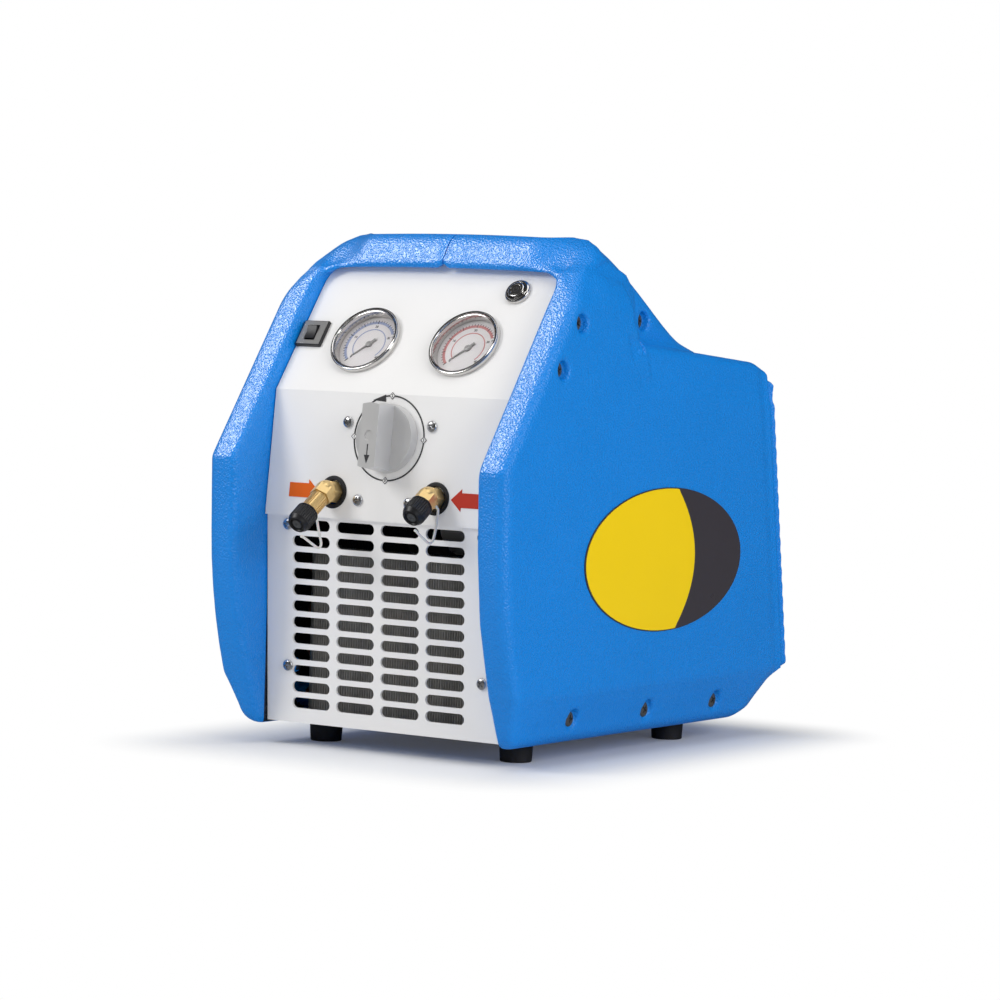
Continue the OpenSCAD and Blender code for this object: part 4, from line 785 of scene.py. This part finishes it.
add_sector(symbol, 1.7 * MM, 2.15 * MM, 35, 325, *SYMBOL_Z)
STROKE_W, STROKE_LOW, STROKE_HIGH = 0.22 * MM, 0.5 * MM, 2.5 * MM
stroke = [(-STROKE_W, STROKE_LOW), (STROKE_W, STROKE_LOW), (STROKE_W, STROKE_HIGH), (-STROKE_W, STROKE_HIGH)]
add_prism(symbol, stroke, *SYMBOL_Z)
settle(object_from("start_symbol", symbol, BUTTON), "start_plunger", INK)
softened("breaker_frame", 0.35 * MM, BLACK)
softened("breaker_plate", 0.12 * MM, SATIN)
softened("breaker_rocker", 0.5 * MM, BLACK)


# Ports
def ribbed_ring(bm, inner, outer, low, high, ribs, rest):
    """A ring wall whose outside carries rounded ribs along the axis."""
    steps = ribs * 6
    rows = []
    for height, depth in ((low, 0.6), (low + 0.5, 1.0), (high - 0.5, 1.0), (high, 0.6)):
        row = []
        for i in range(steps):
            turn = 2 * math.pi * i / steps
            wave = 0.5 + 0.5 * math.cos(turn * ribs)
            radius = rest + (outer - rest) * depth * wave ** 0.7
            spot = (radius * MM * math.cos(turn), radius * MM * math.sin(turn), height * MM)
            row.append(bm.verts.new(spot))
        rows.append(row)
    for a, b in zip(rows, rows[1:]):
        for i in range(steps):
            j = (i + 1) % steps
            bm.faces.new([a[i], a[j], b[j], b[i]])
    for row, height in ((rows[0], low), (rows[-1], high)):
        ring = []
        for i in range(steps):
            turn = 2 * math.pi * i / steps
            spot = (inner * MM * math.cos(turn), inner * MM * math.sin(turn), height * MM)
            ring.append(bm.verts.new(spot))
        for i in range(steps):
            j = (i + 1) % steps
            bm.faces.new([row[i], row[j], ring[j], ring[i]])


CAP_R, CAP_LEN, CAP_GAP, CAP_BORE_R, CAP_BORE_DEEP = 8.2, 15.0, 0.4, 6.4, 12.2


def port_cap(node, side, start, body):
    """The ribbed cap with its blind bore, and the depressor core seen in its end."""
    place = at(on_port(side), 0, 0, (start + CAP_GAP) * MM)
    bm = bmesh.new()
    ribbed_ring(bm, 7.2, CAP_R, 1.2, CAP_LEN - 3.2, 28, 7.55)
    end = CAP_LEN
    wall = [(CAP_BORE_R, 0), (7.9, 0), (8.15, 0.25), (8.15, 1.2), (7.5, 1.6), (7.4, end - 3.6),
            (7.8, end - 3.2), (7.9, end - 2.9), (7.5, end - 2.2), (6.9, end - 1.6), (6.6, end - 0.5), (6.1, end), (5.3, end),
            (4.9, end - 0.5), (4.6, end - 1.3), (0, end - 1.3)]
    add_lathe(bm, [(r * MM, h * MM) for r, h in wall], steps=64)
    bore = [(CAP_BORE_R, 0), (CAP_BORE_R, CAP_BORE_DEEP), (0, CAP_BORE_DEEP)]
    add_lathe(bm, [(r * MM, h * MM) for r, h in bore], steps=48)
    settle(object_from(node + "_ribbed", bm, place, 35), body, BLACK, stands_for=[node])
    button = [(0, end - 1.4), (3.4, end - 1.4), (3.4, end - 0.7), (3.0, end - 0.3), (1.5, end - 0.3),
              (1.2, end - 0.8), (0, end - 0.8)]
    settle(lathe(node + "_core", button, place, 32), body, CAST_AND_BORE_SHADE)


INLET_START, OUTLET_START = 24, 8
port_cap("inlet_cap", -1, INLET_START, "inlet_cap_body")
port_cap("outlet_cap", 1, OUTLET_START, "outlet_cap_body")
softened("outlet_fitting", 0.35 * MM, BRASS, angle=25)
softened("inlet_fitting", 0.25 * MM, BRASS, angle=25)
softened("port_grommets", 0.3 * MM, RUBBER)
softened("inlet_arrow", 0.15 * MM, ORANGE)
softened("outlet_arrow", 0.15 * MM, RED)

# Condenser
COND_W, FIN_STEP, FIN_T, FIN_WAVE, FIN_WAVES = 148, 2.1, 0.35, 0.25, 12
fin_low, fin_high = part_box("condenser_fins")
fins = bmesh.new()
for i in range(int(COND_W / FIN_STEP)):
    x = (-COND_W / 2 + FIN_STEP * (i + 0.5)) * MM
    part = bmesh.new()
    outline = []
    for k in range(FIN_WAVES + 1):
        y = fin_low[1] + (fin_high[1] - fin_low[1]) * k / FIN_WAVES
        outline.append((x + FIN_WAVE * MM * (k % 2), y))
    outline += [(px + FIN_T * MM, py) for px, py in outline[::-1]]
    add_prism(part, outline, fin_low[2], fin_high[2])
    mesh = bpy.data.meshes.new("fin")
    part.to_mesh(mesh)
    part.free()
    fins.from_mesh(mesh)
    bpy.data.meshes.remove(mesh)
settle(object_from("condenser_fin_stack", fins), "base", FINS, stands_for=["condenser_fins"])

# Badge
BADGE_LEN, BADGE_H, BADGE_Y, BADGE_Z = 209, 101, FRONT_Y / MM + 203.5, 137
FIELD_T, YELLOW_T, YELLOW_SHARE = 0.55, 0.8, 0.985


def oval(share, steps=120):
    turns = [2 * math.pi * i / steps for i in range(steps)]
    return [(BADGE_LEN / 2 * share * math.cos(turn), BADGE_H / 2 * share * math.sin(turn)) for turn in turns]


def split_at(x, bow):
    """The film's border: a shallow bow from the top edge to the bottom edge."""
    steps = 24
    half = BADGE_H / 2
    line = []
    for i in range(steps + 1):
        y = half * (1 - 2 * i / steps)
        line.append((x + bow * (1 - (y / half) ** 2), y))
    return line


def film(name, side, outline, look, high):
    """A flat film on the side wall, drawn with X rearward and Y up."""
    place = Matrix.Translation((side * HALF_W * MM, BADGE_Y * MM, BADGE_Z * MM))
    turn = Matrix(((0, 0, side, 0), (1, 0, 0, 0), (0, 1, 0, 0), (0, 0, 0, 1)))
    return settle(plate(name, outline, high, place @ turn), "base", look)


SPLIT_X, SPLIT_BOW = 14, 26
for side, tag in ((-1, "left"), (1, "right")):
    film(f"badge_field_{tag}", side, oval(1.0), GREY_FILM, FIELD_T)
    border = [(x, y) for x, y in split_at(SPLIT_X, SPLIT_BOW)
              if (x / (BADGE_LEN / 2)) ** 2 + (y / (BADGE_H / 2)) ** 2 < YELLOW_SHARE ** 2]
    rim = [(x * YELLOW_SHARE, y * YELLOW_SHARE) for x, y in oval(1.0, 200)]
    top, bottom = border[0], border[-1]
    arc = [p for p in rim if p[0] < (top[0] + (bottom[0] - top[0]) * (top[1] - p[1]) / (top[1] - bottom[1]))]
    # The yellow film fills the oval's front part: its rim there, then back along the border
    arc.sort(key=lambda p: math.atan2(p[1], p[0]) % (2 * math.pi))
    film(f"badge_yellow_{tag}", side, arc + border[::-1], YELLOW, YELLOW_T)
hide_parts("side_badges")

# Feet and power inlet
softened("feet", 0.6 * MM, RUBBER)
softened("power_inlet", 0.5 * MM, BLACK)

# Camera
CAMERA_AT = Vector((1.5251, -2.13330 - 0.14825, 0.3221))
RIGHT = Vector((0.82901174, 0.55843664, 0.02980028))
UP = Vector((-0.05519499, 0.02867777, 0.99806367))
BACK = Vector((0.55650072, -0.82905133, 0.05459712))
camera_data = bpy.data.cameras.new("camera")
camera_data.lens = 137.91
camera_data.sensor_width = 36
camera_data.clip_end = 50
camera = bpy.data.objects.new("camera", camera_data)
camera.matrix_world = Matrix.Translation(CAMERA_AT) @ Matrix((RIGHT, UP, BACK)).transposed().to_4x4()
bpy.context.scene.collection.objects.link(camera)
bpy.context.scene.camera = camera

# Floor, world and lamps
floor_mesh = bpy.data.meshes.new("floor")
EXTENT = 30
corners = [(-EXTENT, -EXTENT, 0), (EXTENT, -EXTENT, 0), (EXTENT, EXTENT, 0), (-EXTENT, EXTENT, 0)]
floor_mesh.from_pydata(corners, [], [(0, 1, 2, 3)])
floor = bpy.data.objects.new("floor", floor_mesh)
bpy.context.scene.collection.objects.link(floor)
floor_mat = bpy.data.materials.new("floor")
floor_mat.use_nodes = True
tree = floor_mat.node_tree
tree.nodes["Principled BSDF"].inputs["Roughness"].default_value = 0.9
tree.nodes["Principled BSDF"].inputs["Specular IOR Level"].default_value = 0.1
# Near the machine the camera sees the lit floor with its shadow, lifted a little
# Further out the floor fades to white
FADE_START, FADE_END, LIFT = 0.0, 0.10, 0.05
UNDER = (0.115, 0.175, 0)
FLOOR_GREY, FLOOR_IN_GLOSS = 0.86, 0.25
node, link = tree.nodes.new, tree.links.new
seen = node("ShaderNodeLightPath")
dull = node("ShaderNodeMapRange")
dull.inputs["To Min"].default_value = FLOOR_GREY
dull.inputs["To Max"].default_value = FLOOR_IN_GLOSS
link(seen.outputs["Is Glossy Ray"], dull.inputs["Value"])
link(dull.outputs["Result"], tree.nodes["Principled BSDF"].inputs["Base Color"])
spot = node("ShaderNodeNewGeometry")
as_vector = {"kind": "ShaderNodeVectorMath", "result": "Vector"}
mirrored = math_out(tree, "ABSOLUTE", spot.outputs["Position"], **as_vector)
outside = math_out(tree, "SUBTRACT", mirrored, UNDER, **as_vector)
positive = math_out(tree, "MAXIMUM", outside, (0, 0, 0), **as_vector)
reach = math_out(tree, "LENGTH", positive, kind="ShaderNodeVectorMath")
fade = node("ShaderNodeMapRange")
fade.interpolation_type = "SMOOTHSTEP"
fade.inputs["From Min"].default_value = FADE_START
fade.inputs["From Max"].default_value = FADE_END
link(reach, fade.inputs["Value"])
lift = node("ShaderNodeEmission")
link(math_out(tree, "MULTIPLY", seen.outputs["Is Camera Ray"], LIFT), lift.inputs["Strength"])
both = node("ShaderNodeAddShader")
link(tree.nodes["Principled BSDF"].outputs[0], both.inputs[0])
link(lift.outputs[0], both.inputs[1])
white = node("ShaderNodeEmission")
white.inputs["Strength"].default_value = 1.0
share = math_out(tree, "MULTIPLY", seen.outputs["Is Camera Ray"], fade.outputs["Result"])
mixed = node("ShaderNodeMixShader")
link(share, mixed.inputs[0])
link(both.outputs[0], mixed.inputs[1])
link(white.outputs[0], mixed.inputs[2])
link(mixed.outputs[0], tree.nodes["Material Output"].inputs["Surface"])
floor_mesh.materials.append(floor_mat)

world = bpy.data.worlds.new("studio")
world.use_nodes = True
bpy.context.scene.world = world
tree = world.node_tree
back = tree.nodes["Background"]
back.inputs["Color"].default_value = (1, 1, 1, 1)
# White for the camera, dimmer as light, and dark in reflections
WORLD_LIGHT, GLOSSY_CUT = 0.30, -0.26
seen = tree.nodes.new("ShaderNodeLightPath")
direct = math_out(tree, "MAXIMUM", seen.outputs["Is Camera Ray"], seen.outputs["Is Transmission Ray"])
level = tree.nodes.new("ShaderNodeMapRange")
level.inputs["To Min"].default_value = WORLD_LIGHT
level.inputs["To Max"].default_value = 1.0
tree.links.new(direct, level.inputs["Value"])
dim = math_out(tree, "MULTIPLY_ADD", seen.outputs["Is Glossy Ray"], GLOSSY_CUT, level.outputs["Result"])
tree.links.new(dim, back.inputs["Strength"])

AIM = Vector((0, 0, 0.17))


def lamp(name, where, size, power):
    data = bpy.data.lights.new(name, "AREA")
    data.size = size
    data.energy = power
    obj = bpy.data.objects.new(name, data)
    obj.location = where
    obj.rotation_mode = "QUATERNION"
    obj.rotation_quaternion = (AIM - Vector(where)).to_track_quat("-Z", "Y")
    bpy.context.scene.collection.objects.link(obj)
    return obj


lamp("key", (-1.3, -1.7, 1.5), 0.9, 22)
lamp("overhead", (0.2, -0.5, 2.2), 1.4, 11)
lamp("fill", (2.4, -0.6, 1.1), 1.4, 30)
# Only a sheen on the grained shell
sheen = lamp("sheen", (-1.4, -0.95, 1.9), 0.9, 85)
sheen.visible_diffuse = False
grained = bpy.data.collections.new("grained")
for half in ("left_shell_skin", "right_shell_skin"):
    grained.objects.link(bpy.data.objects[half])
sheen.light_linking.receiver_collection = grained

scene = bpy.context.scene
scene.view_settings.view_transform = "Standard"
